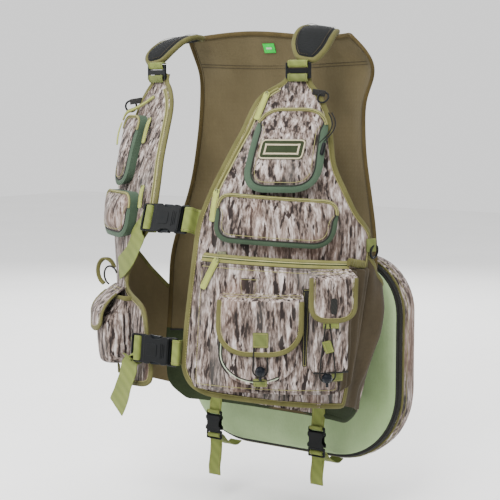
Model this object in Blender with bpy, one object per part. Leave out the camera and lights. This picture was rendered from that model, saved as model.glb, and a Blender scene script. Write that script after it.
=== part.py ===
"""Turkey hunting vest: pocketed front panels, side-release buckles and a padded drop-down seat.

Lengths here are in millimetres, and build() scales each mesh to metres. +X is the wearer's left, +Y the
wearer's back and +Z up. The origin lies between the shoulder tops, where the wearer carries the vest.

The cloth follows the wearer's body. A place on it is (s, z, d): s is the length along the body's outline
from the centre front (or the centre back), z the height and d the distance out from the body.
"""

import math

import bmesh
import bpy
import numpy as np
from mathutils import Matrix, Vector

MM = 0.001

# The wearer's body: (height, value) pairs, and how square its outline is in front and behind.
HALF_WIDTH = ((-720, 206), (-600, 207), (-500, 217), (-400, 232), (-300, 240), (-200, 222), (-100, 200), (0, 175))
FRONT_DEPTH = ((-720, 178), (-600, 178), (-500, 172), (-400, 160), (-300, 143), (-200, 110), (-100, 52), (0, 5))
BACK_DEPTH = (
    (-720, 80), (-640, 82), (-600, 86), (-500, 104), (-400, 118), (-300, 124), (-200, 129), (-100, 124), (-40, 105),
    (0, 85),
)
FRONT_POWER = 1.65
BACK_POWER = 3.0

# Cloth and webbing
PANEL = 3.0
LINING = 2.5
POCKET_WALL = 1.8
POCKET_LIFT = PANEL + 1.5
WEBBING = 38.0
SEAT_WEBBING = 25.0
WEB_THICK = 1.6
UNDER_PANEL = -2.8

# Outlines: (length from centre front or back, height)
FRONT_EDGE = (
    (118, -72), (117, -84), (108, -90), (83, -106), (68, -166), (56, -210), (44, -248), (32, -296), (30, -345),
    (27, -414), (25, -480), (26, -518), (39, -540), (64, -553),
)
RIGHT_FRONT_EDGE = (
    (118, -72), (117, -84), (110, -90), (93, -112), (76, -166), (68, -210), (62, -248), (64, -300), (100, -345),
    (134, -405), (68, -436), (48, -492), (37, -528), (42, -546), (64, -554),
)
ARMHOLE_EDGE = (
    (154, -72), (155, -84), (163, -92), (187, -120), (212, -172), (226, -210), (249, -246), (272, -280), (308, -322),
    (306, -345), (300, -420), (296, -490), (290, -530), (286, -560), (282, -580),
)
BACK_RIGHT_EDGE = (
    (158, -8), (158, -40), (157, -66), (161, -114), (172, -200), (185, -268), (200, -320), (212, -374), (210, -462),
    (202, -560), (192, -600), (162, -624),
)
BACK_LEFT_EDGE = (
    (162, -8), (182, -40), (186, -66), (178, -114), (174, -200), (187, -268), (200, -320), (212, -374), (210, -462),
    (202, -560), (192, -600), (162, -624),
)
FLARE = 26.0
FLARE_HEIGHT = -58.0
SIDE_TOP = -346
SIDE_TOP_BACK = -436
SIDE_BOTTOM = -578
SIDE_BOTTOM_BACK = -598

# Seat: stowed against the back, its hinge along its lower front edge
SEAT_HALF_WIDTH = 216.0
SEAT_TOP = -368.0
SEAT_BOTTOM = -706.0
SEAT_FRONT = 136.0
SEAT_BACK = 205.0
SEAT_CORNER_TOP = 88.0
SEAT_CORNER_BOTTOM = 122.0
SEAT_STRAP_X = 105.0
SEAT_STRAP_Y = 80.0
SEAT_TAIL_END = {"left": -736.0, "right": -752.0}

# Side-release buckles: mouth of the socket, for 38 mm webbing
CHEST_MOUTH = (-43.0, -149.0, -293.0)
CHEST_TILT = 17.0
WAIST_MOUTH = (-40.0, -181.0, -491.0)
WAIST_TILT = 6.0
CHEST_TAIL = ((88, -312, 7), (98, -334, 7), (114, -356, 7), (138, -374, 7), (168, -388, 7))
WAIST_TAIL = ((-73, -173, -505), (-80, -174, -524), (-92, -171, -550), (-109, -162, -576), (-128, -152, -598))

MATERIALS = {
    "camo_cloth": ((0.36, 0.31, 0.27), 0.85, 0.0),
    "lining_cloth": ((0.19, 0.15, 0.08), 0.85, 0.0),
    "webbing": ((0.33, 0.40, 0.14), 0.75, 0.0),
    "pull_tape": ((0.48, 0.54, 0.17), 0.70, 0.0),
    "pad_cloth": ((0.08, 0.08, 0.09), 0.90, 0.0),
    "black_plastic": ((0.02, 0.024, 0.03), 0.40, 0.0),
    "black_elastic": ((0.02, 0.02, 0.02), 0.85, 0.0),
    "seat_cloth": ((0.35, 0.53, 0.24), 0.80, 0.0),
    "foam": ((0.55, 0.53, 0.45), 0.95, 0.0),
    "zip_metal": ((0.30, 0.30, 0.24), 0.40, 0.9),
}


# ---------------------------------------------------------------- the body's surface


def along_table(table, z):
    """A smooth curve through (height, value) pairs."""
    heights = np.array([row[0] for row in table], float)
    values = np.array([row[1] for row in table], float)
    i = int(np.clip(np.searchsorted(heights, z) - 1, 0, len(heights) - 2))
    step = heights[i + 1] - heights[i]
    t = float(np.clip((z - heights[i]) / step, 0, 1))
    slope = np.gradient(values, heights)
    start = (2 * t**3 - 3 * t**2 + 1) * values[i] + (t**3 - 2 * t**2 + t) * step * slope[i]
    end = (3 * t**2 - 2 * t**3) * values[i + 1] + (t**3 - t**2) * step * slope[i + 1]
    return start + end


OUTLINES = {}


def outline(z):
    """Half of the body's outline at a height, from centre front to centre back: x, y and arc length."""
    key = round(z, 2)
    if key not in OUTLINES:
        angle = np.linspace(0, math.pi, 241)
        front = angle < math.pi / 2
        power = np.where(front, 2 / FRONT_POWER, 2 / BACK_POWER)
        depth = np.where(front, -along_table(FRONT_DEPTH, z), along_table(BACK_DEPTH, z))
        x = along_table(HALF_WIDTH, z) * np.abs(np.sin(angle)) ** power
        y = depth * np.abs(np.cos(angle)) ** power
        arc = np.concatenate(([0.0], np.cumsum(np.hypot(np.diff(x), np.diff(y)))))
        OUTLINES[key] = (x, y, arc)
    return OUTLINES[key]


def half_girth(z):
    return float(outline(z)[2][-1])


def body_point(side, s, z, d=0.0):
    """A point s from the centre front at height z, d out from the body. side is 1 on the wearer's left."""
    x, y, arc = outline(z)
    near, far = np.interp([s - 2.0, s + 2.0], arc, x), np.interp([s - 2.0, s + 2.0], arc, y)
    run = Vector((near[1] - near[0], far[1] - far[0]))
    run.normalize()
    here = (float(np.interp(s, arc, x)) + d * run.y, float(np.interp(s, arc, y)) - d * run.x)
    return Vector((side * here[0], here[1], z))


def back_point(s, z, d=0.0):
    """The same from the centre back: s is positive towards the wearer's left.

    The cloth stands out from the body behind the shoulders.
    """
    side = 1 if s >= 0 else -1
    stand = FLARE * math.exp(-(((z - FLARE_HEIGHT) / 45) ** 2)) * min(1.0, max(0.0, (abs(s) - 90) / 70)) ** 2
    return body_point(side, half_girth(z) - abs(s), z, d + stand)


def fall(side, s, z, d=0.0):
    """The direction straight up the cloth at a place on it."""
    return (body_point(side, s, z + 8, d) - body_point(side, s, z - 8, d)).normalized()


def edge_at(edge, z):
    """An outline's length coordinate at a height."""
    heights = [-point[1] for point in edge]
    return float(np.interp(-z, heights, [point[0] for point in edge]))


# ---------------------------------------------------------------- meshes


def clear_scene():
    for item in list(bpy.data.objects):
        bpy.data.objects.remove(item, do_unlink=True)


def material(name):
    """The Principled material of this name, made once."""
    found = bpy.data.materials.get(name)
    if found:
        return found
    colour, roughness, metallic = MATERIALS[name.split(".")[0]]
    made = bpy.data.materials.new(name)
    made.use_nodes = True
    shader = made.node_tree.nodes["Principled BSDF"]
    shader.inputs["Base Color"].default_value = (*colour, 1.0)
    shader.inputs["Roughness"].default_value = roughness
    shader.inputs["Metallic"].default_value = metallic
    return made


def build(name, points, faces, finish, pivot=(0.0, 0.0, 0.0), smooth=True):
    """Turns millimetre points and faces into a closed object whose origin is at pivot."""
    mesh = bpy.data.meshes.new(name)
    work = bmesh.new()
    origin = Vector(pivot)
    corners = [work.verts.new((Vector(point) - origin) * MM) for point in points]
    for face in faces:
        work.faces.new([corners[i] for i in face])
    work.normal_update()
    bmesh.ops.remove_doubles(work, verts=work.verts, dist=1e-7)
    if work.calc_volume(signed=True) < 0:
        bmesh.ops.reverse_faces(work, faces=work.faces)
    work.to_mesh(mesh)
    work.free()
    if smooth:
        mesh.shade_smooth()
        mesh.set_sharp_from_angle(angle=math.radians(40))
    made = bpy.data.objects.new(name, mesh)
    made.location = origin * MM
    bpy.context.collection.objects.link(made)
    mesh.materials.append(material(finish + "." + name))
    return made


def between(name, outer, inner, finish, pivot=(0.0, 0.0, 0.0)):
    """One closed solid between two grids of points with the same number of rows and columns."""
    rows, cols = len(outer), len(outer[0])
    points = [p for row in outer for p in row] + [p for row in inner for p in row]
    shift = rows * cols
    faces = []
    for i in range(rows - 1):
        for j in range(cols - 1):
            a = i * cols + j
            quad = [a, a + 1, a + cols + 1, a + cols]
            faces.append(quad)
            faces.append([shift + k for k in (a, a + cols, a + cols + 1, a + 1)])
    rim = [j for j in range(cols)]
    rim += [i * cols + cols - 1 for i in range(1, rows)]
    rim += [(rows - 1) * cols + j for j in range(cols - 2, -1, -1)]
    rim += [i * cols for i in range(rows - 2, 0, -1)]
    for a, b in zip(rim, rim[1:] + rim[:1]):
        faces.append([b, a, shift + a, shift + b])
    return build(name, points, faces, finish, pivot)


def lofted(name, loops, finish, pivot=(0.0, 0.0, 0.0), smooth=True):
    """A closed solid through loops of equal length, with its first and last loops capped."""
    count = len(loops[0])
    points = [p for loop in loops for p in loop]
    faces = [list(range(count - 1, -1, -1))]
    for k in range(len(loops) - 1):
        for i in range(count):
            a, b = k * count + i, k * count + (i + 1) % count
            faces.append([a, b, b + count, a + count])
    faces.append([(len(loops) - 1) * count + i for i in range(count)])
    return build(name, points, faces, finish, pivot, smooth)


def ruled(left, right, heights, cols, place):
    """A grid of points: place(s, z, u, v) between two edges, each given as (s, z) at every height."""
    grid = []
    for i, _ in enumerate(heights):
        v = i / (len(heights) - 1)
        (s0, z0), (s1, z1) = left[i], right[i]
        spread = [j / cols for j in range(cols + 1)]
        grid.append([place(s0 + (s1 - s0) * u, z0 + (z1 - z0) * u, u, v) for u in spread])
    return grid


def cloth(name, left, right, cols, place, thick, finish, lift=0.0):
    """A sheet of cloth between two edges of equally many (s, z) points. place(s, z, d) lays it on the body."""
    outer = ruled(left, right, left, cols, lambda s, z, u, v: place(s, z, lift + thick))
    inner = ruled(left, right, left, cols, lambda s, z, u, v: place(s, z, lift))
    return between(name, outer, inner, finish)


def ribbon(name, path, across, width, finish, thick=WEB_THICK, pivot=(0.0, 0.0, 0.0)):
    """Flat webbing along a path. across is one direction, or one for each point, which is then kept."""
    points = [Vector(p) for p in path]
    sides = [Vector(a).normalized() for a in across] if isinstance(across, list) else None
    outer, inner = [], []
    for i, point in enumerate(points):
        run = points[min(i + 1, len(points) - 1)] - points[max(i - 1, 0)]
        side = sides[i] if sides else Vector(across).normalized()
        if not sides:
            side = (side - run.normalized() * side.dot(run.normalized())).normalized()
        normal = run.cross(side).normalized() * (thick / 2)
        ends = [point - side * (width / 2), point + side * (width / 2)]
        outer.append([p + normal for p in ends])
        inner.append([p - normal for p in ends])
    return between(name, outer, inner, finish, pivot)


def arc(centre, u, v, radius, start, stop, steps=6):
    """Points on an arc about centre in the plane of the unit vectors u and v, angles in degrees."""
    angles = np.radians(np.linspace(start, stop, steps + 1))
    return [Vector(centre) + radius * (Vector(u) * math.cos(a) + Vector(v) * math.sin(a)) for a in angles]


def box_points(low, high):
    (x0, y0, z0), (x1, y1, z1) = low, high
    return [(x, y, z) for z in (z0, z1) for x, y in ((x0, y0), (x1, y0), (x1, y1), (x0, y1))]


BOX_FACES = ((0, 3, 2, 1), (4, 5, 6, 7), (0, 1, 5, 4), (1, 2, 6, 5), (2, 3, 7, 6), (3, 0, 4, 7))


def block(name, low, high, finish, place=None, pivot=(0.0, 0.0, 0.0), bevel=0.0):
    """A box between two corners, moved by the matrix place, with its edges bevelled."""
    points = [Vector(p) for p in box_points(low, high)]
    if place:
        points = [place @ p for p in points]
    made = build(name, points, BOX_FACES, finish, pivot, smooth=False)
    if bevel:
        edges = made.modifiers.new("edges", "BEVEL")
        edges.width = bevel * MM
        edges.segments = 1
    return made


def combine(target, operation, low, high, place=None):
    """Adds a box to an object, or cuts it away, with an exact Boolean."""
    label = f"{target.name}_{operation.lower()}_{len(target.modifiers)}"
    tool = block(label, low, high, "black_plastic", place)
    tool.hide_render = True
    tool.display_type = "WIRE"
    step = target.modifiers.new(label, "BOOLEAN")
    step.operation = operation
    step.solver = "EXACT"
    step.object = tool


def closed_tube(name, points, radius, finish, pivot, bevel_resolution=2, cyclic=False):
    """A round cord or ring along points, as a bevelled curve with filled ends."""
    data = bpy.data.curves.new(name, "CURVE")
    data.dimensions = "3D"
    data.bevel_depth = radius * MM
    data.bevel_resolution = bevel_resolution
    data.use_fill_caps = not cyclic
    spline = data.splines.new("POLY")
    spline.points.add(len(points) - 1)
    spline.use_cyclic_u = cyclic
    for knot, point in zip(spline.points, points):
        knot.co = (*((Vector(point) - Vector(pivot)) * MM), 1.0)
    made = bpy.data.objects.new(name, data)
    made.location = Vector(pivot) * MM
    bpy.context.collection.objects.link(made)
    data.materials.append(material(finish + "." + name))
    return made


# ---------------------------------------------------------------- vest body


def front_panel(name, side, front_edge):
    heights = [point[1] for point in ARMHOLE_EDGE]
    fine = sorted(set(heights) | {point[1] for point in front_edge}, reverse=True)
    fine = [z for i, z in enumerate(fine) if i == 0 or fine[i - 1] - z > 3.5]
    left, right = [], []
    lowest = front_edge[-1][1]
    for z in fine:
        front_z = max(z, lowest) if z > -500 else np.interp(-z, (500, 580), (500, -lowest)) * -1
        left.append((edge_at(front_edge, front_z), front_z))
        right.append((edge_at(ARMHOLE_EDGE, z), z))
    return cloth(name, left, right, 15, lambda s, z, d: body_point(side, s, z, d), PANEL, "camo_cloth")


def back_layers():
    """The brown lining inside, the camo yoke outside it, and the game bag, open at its top."""
    right = [(-s, z) for s, z in BACK_RIGHT_EDGE]
    left = list(BACK_LEFT_EDGE)
    cloth("back_lining", right, left, 18, back_point, LINING, "lining_cloth")
    cloth("back_yoke", right[:7], left[:7], 18, back_point, LINING, "camo_cloth", LINING + 0.9)
    shelf = LINING + 0.9

    def bag_depth(v):
        """The bag deepens towards its foot, where the body's back falls away from the seat."""
        return 9.0 + 26.0 * v**1.6

    top, bottom = -332.0, -612.0
    steps = 8
    outer, inner = [], []
    for i in range(steps + 1):
        v = i / steps
        z = top + (bottom - top) * v
        wide = np.interp(v, (0, 0.3, 0.8, 1), (190, 200, 190, 168))
        outer.append(pocket_row(wide, z, shelf, shelf + bag_depth(v), 0.0))
        inner.append(pocket_row(wide, z, shelf, shelf + bag_depth(v), POCKET_WALL))
    for grid, half, z in ((outer, 168, bottom - 4), (inner, 168 - POCKET_WALL, bottom + 1)):
        foot = [back_point(-half + 2 * half * j / 16, z, shelf) for j in range(17)]
        grid.append([foot[0], *foot, foot[-1]])
    between("game_bag", outer, inner, "camo_cloth")


def pocket_row(half, z, base, face, wall):
    """One height of the game bag: out from the back, across and in again."""
    half -= wall
    middle = [back_point(-half + 2 * half * j / 16, z, face - wall) for j in range(17)]
    return [back_point(-half, z, base)] + middle + [back_point(half, z, base)]


def side_panel(name, side):
    heights = np.linspace(0, 1, 7)
    left, right = [], []
    for t in heights:
        z_front = SIDE_TOP + (SIDE_BOTTOM - SIDE_TOP) * t
        z_back = SIDE_TOP_BACK + (SIDE_BOTTOM_BACK - SIDE_TOP_BACK) * t
        left.append((edge_at(ARMHOLE_EDGE, z_front) + 1.2, z_front))
        right.append((half_girth(z_back) - edge_at(BACK_LEFT_EDGE, z_back) - 1.2, z_back))
    cloth(name, left, right, 5, lambda s, z, d: body_point(side, s, z, d), LINING, "lining_cloth")


# ---------------------------------------------------------------- pockets


def flat_base(_):
    return POCKET_LIFT


def pocket(name, side, s_span, z_span, depth, finish, tilt=0.0, corner=22.0, base=flat_base, open_top=False,
           side_depth=None, cols=8, bulge=0.0, splay=0.0, taper=0.0):
    """A tray open towards the body: walls and a face. tilt is the drop per unit of s.

    depth is at the side nearer the centre front, side_depth at the other; bulge swells the middle. base gives
    the distance from the body at each s, splay widens the foot at the far side, and taper narrows the top.
    """
    far_depth = side_depth or depth
    (s0, s1), (top, bottom) = s_span, z_span
    round_steps = (0.0, 0.3, 0.65, 1.0)
    levels = list(np.linspace(top, bottom + corner, 6))
    insets = [0.0] * len(levels)
    for t in round_steps[1:]:
        levels.append(bottom + corner * (1 - math.sin(t * math.pi / 2)))
        insets.append(corner * (1 - math.cos(t * math.pi / 2)))
    if not open_top:
        insets[0] = corner * 0.45
        insets[1] = corner * 0.08
        levels[1] = top - corner * 0.6

    def grid(wall):
        rows = []
        for z, inset in zip(levels, insets):
            v = (z - top) / (bottom - top)
            z = min(z, top if open_top else top - wall)
            z = max(z, bottom + wall)
            a, b = s0 + inset + wall + taper * (1 - v), s1 - inset - wall
            spread = [j / cols for j in range(cols + 1)]
            face = []
            for u in spread:
                s = a + (b - a) * u
                swell = bulge * math.sin(math.pi * u) * math.sin(math.pi * min(1.0, 0.15 + v * 0.85))
                out = base(s) + depth + (far_depth - depth) * u + swell - wall
                face.append(body_point(side, s, z - tilt * (s - s0), out))
            foot = [body_point(side, s, z - tilt * (s - s0), base(s)) for s in (a, b + splay)]
            rows.append([foot[0], *face, foot[1]])
        ends = [(-1, bottom + wall)] if open_top else [(0, top - wall), (-1, bottom + wall)]
        for index, z in ends:
            inset = insets[index]
            a, b = s0 + inset + wall, s1 - inset - wall
            if index == 0:
                a += taper
            flat = [a] + [a + (b - a) * j / cols for j in range(cols + 1)] + [b + splay]
            row = [body_point(side, s, z - tilt * (s - s0), base(s)) for s in flat]
            if index == 0:
                rows.insert(0, row)
            else:
                rows.append(row)
        return rows

    return between(name, grid(0.0), grid(POCKET_WALL), finish)


def flap(name, side, s_span, z_span, lift, corner, root, thick=2.4, cols=6):
    """A curved flap with a rounded lower edge, sewn down above its pocket, where its origin and hinge are.

    root and lift give its distance from the body at each s, along the sewn edge and over the pocket.
    """
    (s0, s1), (top, bottom) = s_span, z_span
    levels = [(top + 7, 0.0), (top, 0.0), ((top + bottom + corner) / 2, 0.0), (bottom + corner, 0.0)]
    for t in (0.25, 0.5, 0.75, 1.0):
        angle = t * math.pi / 2
        levels.append((bottom + corner * (1 - math.sin(angle)), corner * (1 - math.cos(angle))))
    left = [(s0 + inset, z) for z, inset in levels]
    right = [(s1 - inset, z) for z, inset in levels]

    def out(s, z):
        return root(s) if z > top else lift(s)

    outer = ruled(left, right, left, cols, lambda s, z, u, v: body_point(side, s, z, out(s, z) + thick))
    inner = ruled(left, right, left, cols, lambda s, z, u, v: body_point(side, s, z, out(s, z)))
    middle = (s0 + s1) / 2
    return between(name, outer, inner, "camo_cloth", body_point(side, middle, top + 7, root(middle) + thick / 2))


def zip_pull(name, side, s, top, length, lift, lean=0.0):
    """A tape that hangs from a zip's slider and swings about its upper end."""
    start = body_point(side, s, top, lift)
    end = body_point(side, s + lean, top - length, lift + 0.5)
    tangent = body_point(side, s + 5, top, lift) - body_point(side, s - 5, top, lift)
    steps = [start + (end - start) * t for t in (0.0, 0.5, 1.0)]
    return ribbon(name, steps, tangent, 9.0, "pull_tape", 2.0, start)


def toggle(name, side, s, z, lift, radius):
    """A ball with a short neck, which its loop hooks over."""
    centre = body_point(side, s, z, lift + radius)
    loops = []
    for k in range(1, 8):
        angle = math.pi * k / 8
        ring, height = radius * math.sin(angle), centre.z + radius * math.cos(angle)
        loops.append([centre + Vector((ring * math.cos(a), ring * math.sin(a), height - centre.z))
                      for a in np.linspace(0, 2 * math.pi, 12, endpoint=False)])
    foot = [centre + Vector((2.2 * math.cos(a), 2.2 * math.sin(a), -radius - 5.0))
            for a in np.linspace(0, 2 * math.pi, 12, endpoint=False)]
    neck = [Vector((p.x, p.y, centre.z - radius)) for p in foot]
    loops[-1] = neck
    loops.append(foot)
    lofted(name, list(reversed(loops)), "black_plastic")


def elastic_loop(name, side, s, z_span, lift, spread):
    """The elastic that holds a flap down: a narrow U that hangs over its toggle."""
    top, bottom = z_span
    path = []
    for t in np.linspace(0, 1, 7):
        path.append(body_point(side, s - spread, top + (bottom - top) * t, lift))
    for t in np.linspace(0, 1, 5)[1:-1]:
        bend = math.pi * t
        path.append(body_point(side, s - spread * math.cos(bend), bottom - spread * math.sin(bend), lift))
    for t in np.linspace(1, 0, 7):
        path.append(body_point(side, s + spread, top + (bottom - top) * t, lift))
    closed_tube(name, path, 1.2, "black_elastic", (0, 0, 0))


def ring(name, side, s, z, lift, radius, wire, tangent=None):
    """A carrying ring on the panel's edge. It swings about the tangent through its top."""
    top = body_point(side, s, z, lift)
    along = tangent or (body_point(side, s + 5, z, lift) - body_point(side, s - 5, z, lift)).normalized()
    up = (0, 0, 1) if tangent else fall(side, s, z - radius, lift)
    points = arc(top - Vector(up) * radius, along, up, radius, 0, 340, 17)
    closed_tube(name, points, wire, "black_plastic", top, cyclic=True)


# ---------------------------------------------------------------- shoulders


SHOULDER_SPINE = {
    "left": ((147, -27, -50), (145, -14, -30), (142, 6, -11), (139, 30, -2), (137, 54, -3)),
    "right": ((151, -26, -51), (153, -12, -36), (151, 8, -21), (147, 30, -12), (142, 54, -10)),
}


def shoulder(side, word):
    """A padded saddle over the shoulder, its webbing and the ladder lock above the front panel."""
    spine = SHOULDER_SPINE[word]
    tilts = ((1.0, 0.10, -0.16), (1.0, 0.05, -0.18), (1.0, -0.05, -0.2), (0.97, -0.2, -0.16), (0.9, -0.42, -0.06))
    halves = (17, 29, 33, 32, 29)
    outer, inner = [], []
    for i, (point, tilt, half) in enumerate(zip(spine, tilts, halves)):
        here = Vector(point)
        run = Vector(spine[min(i + 1, 4)]) - Vector(spine[max(i - 1, 0)])
        wide = Vector(tilt).normalized()
        up = wide.cross(run).normalized()
        spread = [here + wide * half * t for t in (-1, -0.5, 0, 0.5, 1)]
        outer.append([Vector((side * p.x, p.y, p.z)) for p in spread])
        inner.append([Vector((side * q.x, q.y, q.z)) for q in (p - up * 9.0 for p in spread)])
    between(f"{word}_shoulder_pad", outer, inner, "pad_cloth")
    lock = Matrix.Translation((side * 139, -33, -68)) @ Matrix.Rotation(side * math.radians(8), 4, "Z")
    plate = block(f"{word}_ladder_lock", (-21, -2, -13), (21, 2, 11), "black_plastic", lock, bevel=0.6)
    for low, high in ((-9.5, -5.0), (2.5, 7.0)):
        combine(plate, "DIFFERENCE", (-17.4, -5, low), (17.4, 5, high), lock)
    across = lock.to_3x3() @ Vector((1, 0, 0))

    def at(y, z):
        return lock @ Vector((0, y, z))

    path = [at(6.0, 13.0), at(1.0, 14.2), at(-3.4, 13.0), at(-3.4, 9.0)]
    path += [at(-3.2, 6.8), at(-1.6, 4.8), at(1.2, 4.0), at(3.4, 6.0), at(3.4, 9.0)]
    ribbon(f"{word}_shoulder_webbing", path, across, 33.0, "webbing", 1.4)


# ---------------------------------------------------------------- buckles and straps


def buckle(word, place, stretch):
    """A side-release buckle along local +X: the socket from its mouth at x = 0, the plug towards -X.

    stretch scales length, thickness and width from the size for 38 mm webbing. The plug's two arms are
    separate pieces that pivot near the mouth, and the socket's sides are open so that they slide out.
    """
    long, thick, wide = stretch
    size = place @ Matrix.Diagonal((long, thick, wide, 1.0))
    socket = block(f"{word}_buckle_socket", (0.3, -6.5, -22), (47, 6.5, 22), "black_plastic", size, bevel=1.0)
    combine(socket, "UNION", (46, -2.5, -22), (62, 2.5, 22), size)
    combine(socket, "DIFFERENCE", (-2, -4.2, -30), (37, 4.2, 30), size)
    combine(socket, "DIFFERENCE", (50, -6, -19.8), (56.5, 6, 19.8), size)
    plug = block(f"{word}_buckle_plug", (-28, -3, -22), (-0.3, 3, 22), "black_plastic", size,
                 size @ Vector((0, 0, 0)), bevel=0.6)
    for low in (-24.5, -13.5):
        combine(plug, "DIFFERENCE", (low, -6, -19.8), (low + 6.0, 6, 19.8), size)
    combine(plug, "UNION", (-1, -2.4, -3), (30, 2.4, 3), size)


def buckle_arms(word, place, stretch):
    """The two arms that spring outwards and are squeezed to let the plug out."""
    long, thick, wide = stretch
    size = place @ Matrix.Diagonal((long, thick, wide, 1.0))
    for label, up in (("upper", 1), ("lower", -1)):
        outline_points = ((1.0, 11.5), (30.5, 11.5), (33.0, 15.0), (30.0, 17.5), (28.5, 21.6), (14.0, 21.8),
                          (11.0, 17.0), (1.0, 15.5))
        loops = []
        for y in (-3.4, 3.4):
            loops.append([size @ Vector((x, y, up * z)) for x, z in outline_points])
        if up < 0:
            loops.reverse()
        pivot = size @ Vector((2.0, 0, up * 13.5))
        lofted(f"{word}_{label}_arm", loops, "black_plastic", pivot, smooth=False)


def socket_strap(name, place, stretch, width, tail, across, thick=WEB_THICK):
    """Webbing looped over the socket's end bar, then on along tail. Stitched back on itself."""
    long, deep, _ = stretch

    def at(x, y):
        return place @ Vector((x * long, y, 0))

    reach = 2.5 * deep + 0.5 + thick / 2
    path = [at(64, reach), at(60, reach), at(56, reach * 0.95), at(53.4, reach * 0.45), at(53.4, -reach * 0.45)]
    path += [at(56, -reach * 0.95), at(60, -reach), at(65, -reach)]
    if isinstance(across, list):
        across = [place.to_3x3() @ Vector((0, 0, 1))] * len(path) + across
    ribbon(name, path + [Vector(p) for p in tail], across, width, "webbing", thick)


def chest_and_waist():
    """Both front closures: buckle, the left half's webbing and the right half's webbing with its tail."""
    same = (1.0, 1.0, 1.0)
    closures = (
        ("chest", CHEST_MOUTH, CHEST_TILT, (27, 38, 52, 88), (104, 74, 57)),
        ("waist", WAIST_MOUTH, WAIST_TILT, (22, 33, 48, 88), (92, 60, 35)),
    )
    for word, mouth, tilt, left_stops, right_stops in closures:
        place = Matrix.Translation(mouth) @ Matrix.Rotation(math.radians(-tilt), 4, "X")
        buckle(word, place, same)
        buckle_arms(word, place, same)
        tail = [behind_buckle(1, s, mouth, tilt) for s in left_stops]
        sides = [fall(1, s, mouth[2]) for s in left_stops]
        socket_strap(f"left_{word}_strap", place, same, WEBBING, tail, sides)
        start = [behind_buckle(-1, s, mouth, tilt) for s in right_stops]
        sides = [fall(-1, s, mouth[2]) for s in right_stops]
        ribbon(f"right_{word}_strap", *right_strap(word, place, start, sides), WEBBING, "webbing")


def behind_buckle(side, s, mouth, tilt):
    """A place under the panel's edge, level with a tilted buckle."""
    near = body_point(side, s, mouth[2], UNDER_PANEL)
    return body_point(side, s, mouth[2] - math.tan(math.radians(tilt)) * (near.y - mouth[1]), UNDER_PANEL)


def right_strap(word, place, start, sides):
    """Through the plug's adjuster and away as a free tail: the path, and its direction across."""
    def at(x, y):
        return place @ Vector((x, y, 0))

    loop = [at(-10.5, 3.2), at(-10.2, -1.0), at(-12.0, -4.2), at(-16.0, -4.8), at(-20.0, -4.2), at(-21.6, -1.0)]
    loop += [at(-21.8, 2.6), at(-23.4, 4.8), at(-27.0, 5.4)]
    across = list(sides) + [place.to_3x3() @ Vector((0, 0, 1))] * len(loop)
    if word == "waist":
        tail = [Vector(spot) for spot in WAIST_TAIL]
        across += [Vector((0.2, 0.1, 0.97)), Vector((0.75, -0.1, 0.5))] + [Vector((0.92, -0.3, 0.14))] * 3
        return start + loop + tail, across
    tail = [body_point(-1, *spot) for spot in CHEST_TAIL]
    for spot, lean in zip(CHEST_TAIL, (0.05, 0.2, 0.45, 0.55, 0.6)):
        s, z, d = spot
        tangent = (body_point(-1, s + 5, z, d) - body_point(-1, s - 5, z, d)).normalized()
        across.append(fall(-1, s, z, d) * math.sqrt(1 - lean**2) + tangent * lean)
    return start + loop + tail, across


# ---------------------------------------------------------------- seat


def seat_outline(inset, y, swell=0.0):
    """A closed loop of the seat's shape, inset all round, in the plane at y."""
    half = SEAT_HALF_WIDTH - inset
    top, bottom = SEAT_TOP - inset, SEAT_BOTTOM + inset
    points = []
    corners = (
        (half, top, SEAT_CORNER_TOP - inset, 0), (-half, top, SEAT_CORNER_TOP - inset, 90),
        (-half, bottom, SEAT_CORNER_BOTTOM - inset, 180), (half, bottom, SEAT_CORNER_BOTTOM - inset, 270),
    )
    for x, z, radius, start in corners:
        centre_x = x - math.copysign(radius, x)
        centre_z = z + (radius if start >= 180 else -radius)
        for step in range(6):
            angle = math.radians(start + 18 * step)
            points.append(Vector((centre_x + radius * math.cos(angle), y, centre_z + radius * math.sin(angle))))
    return points


def seat():
    """The cover is a tray open to the front. The foam fills it, and the face closes it."""
    pivot = (0, SEAT_FRONT, SEAT_BOTTOM)
    wall = 2.2
    cover = [
        seat_outline(wall, SEAT_BACK - wall), seat_outline(wall, SEAT_FRONT), seat_outline(0, SEAT_FRONT),
        seat_outline(0, SEAT_BACK - 16), seat_outline(5, SEAT_BACK - 5), seat_outline(16, SEAT_BACK),
    ]
    lofted("seat_cover", cover, "camo_cloth", pivot)
    face = [seat_outline(wall + 0.6, SEAT_FRONT + 3.0), seat_outline(wall + 0.6, SEAT_FRONT)]
    lofted("seat_face", face, "seat_cloth", pivot)
    foam = [seat_outline(wall + 1.0, SEAT_BACK - wall - 14), seat_outline(wall + 1.0, SEAT_FRONT + 3.6)]
    lofted("seat_foam", foam, "foam", pivot)


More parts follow.
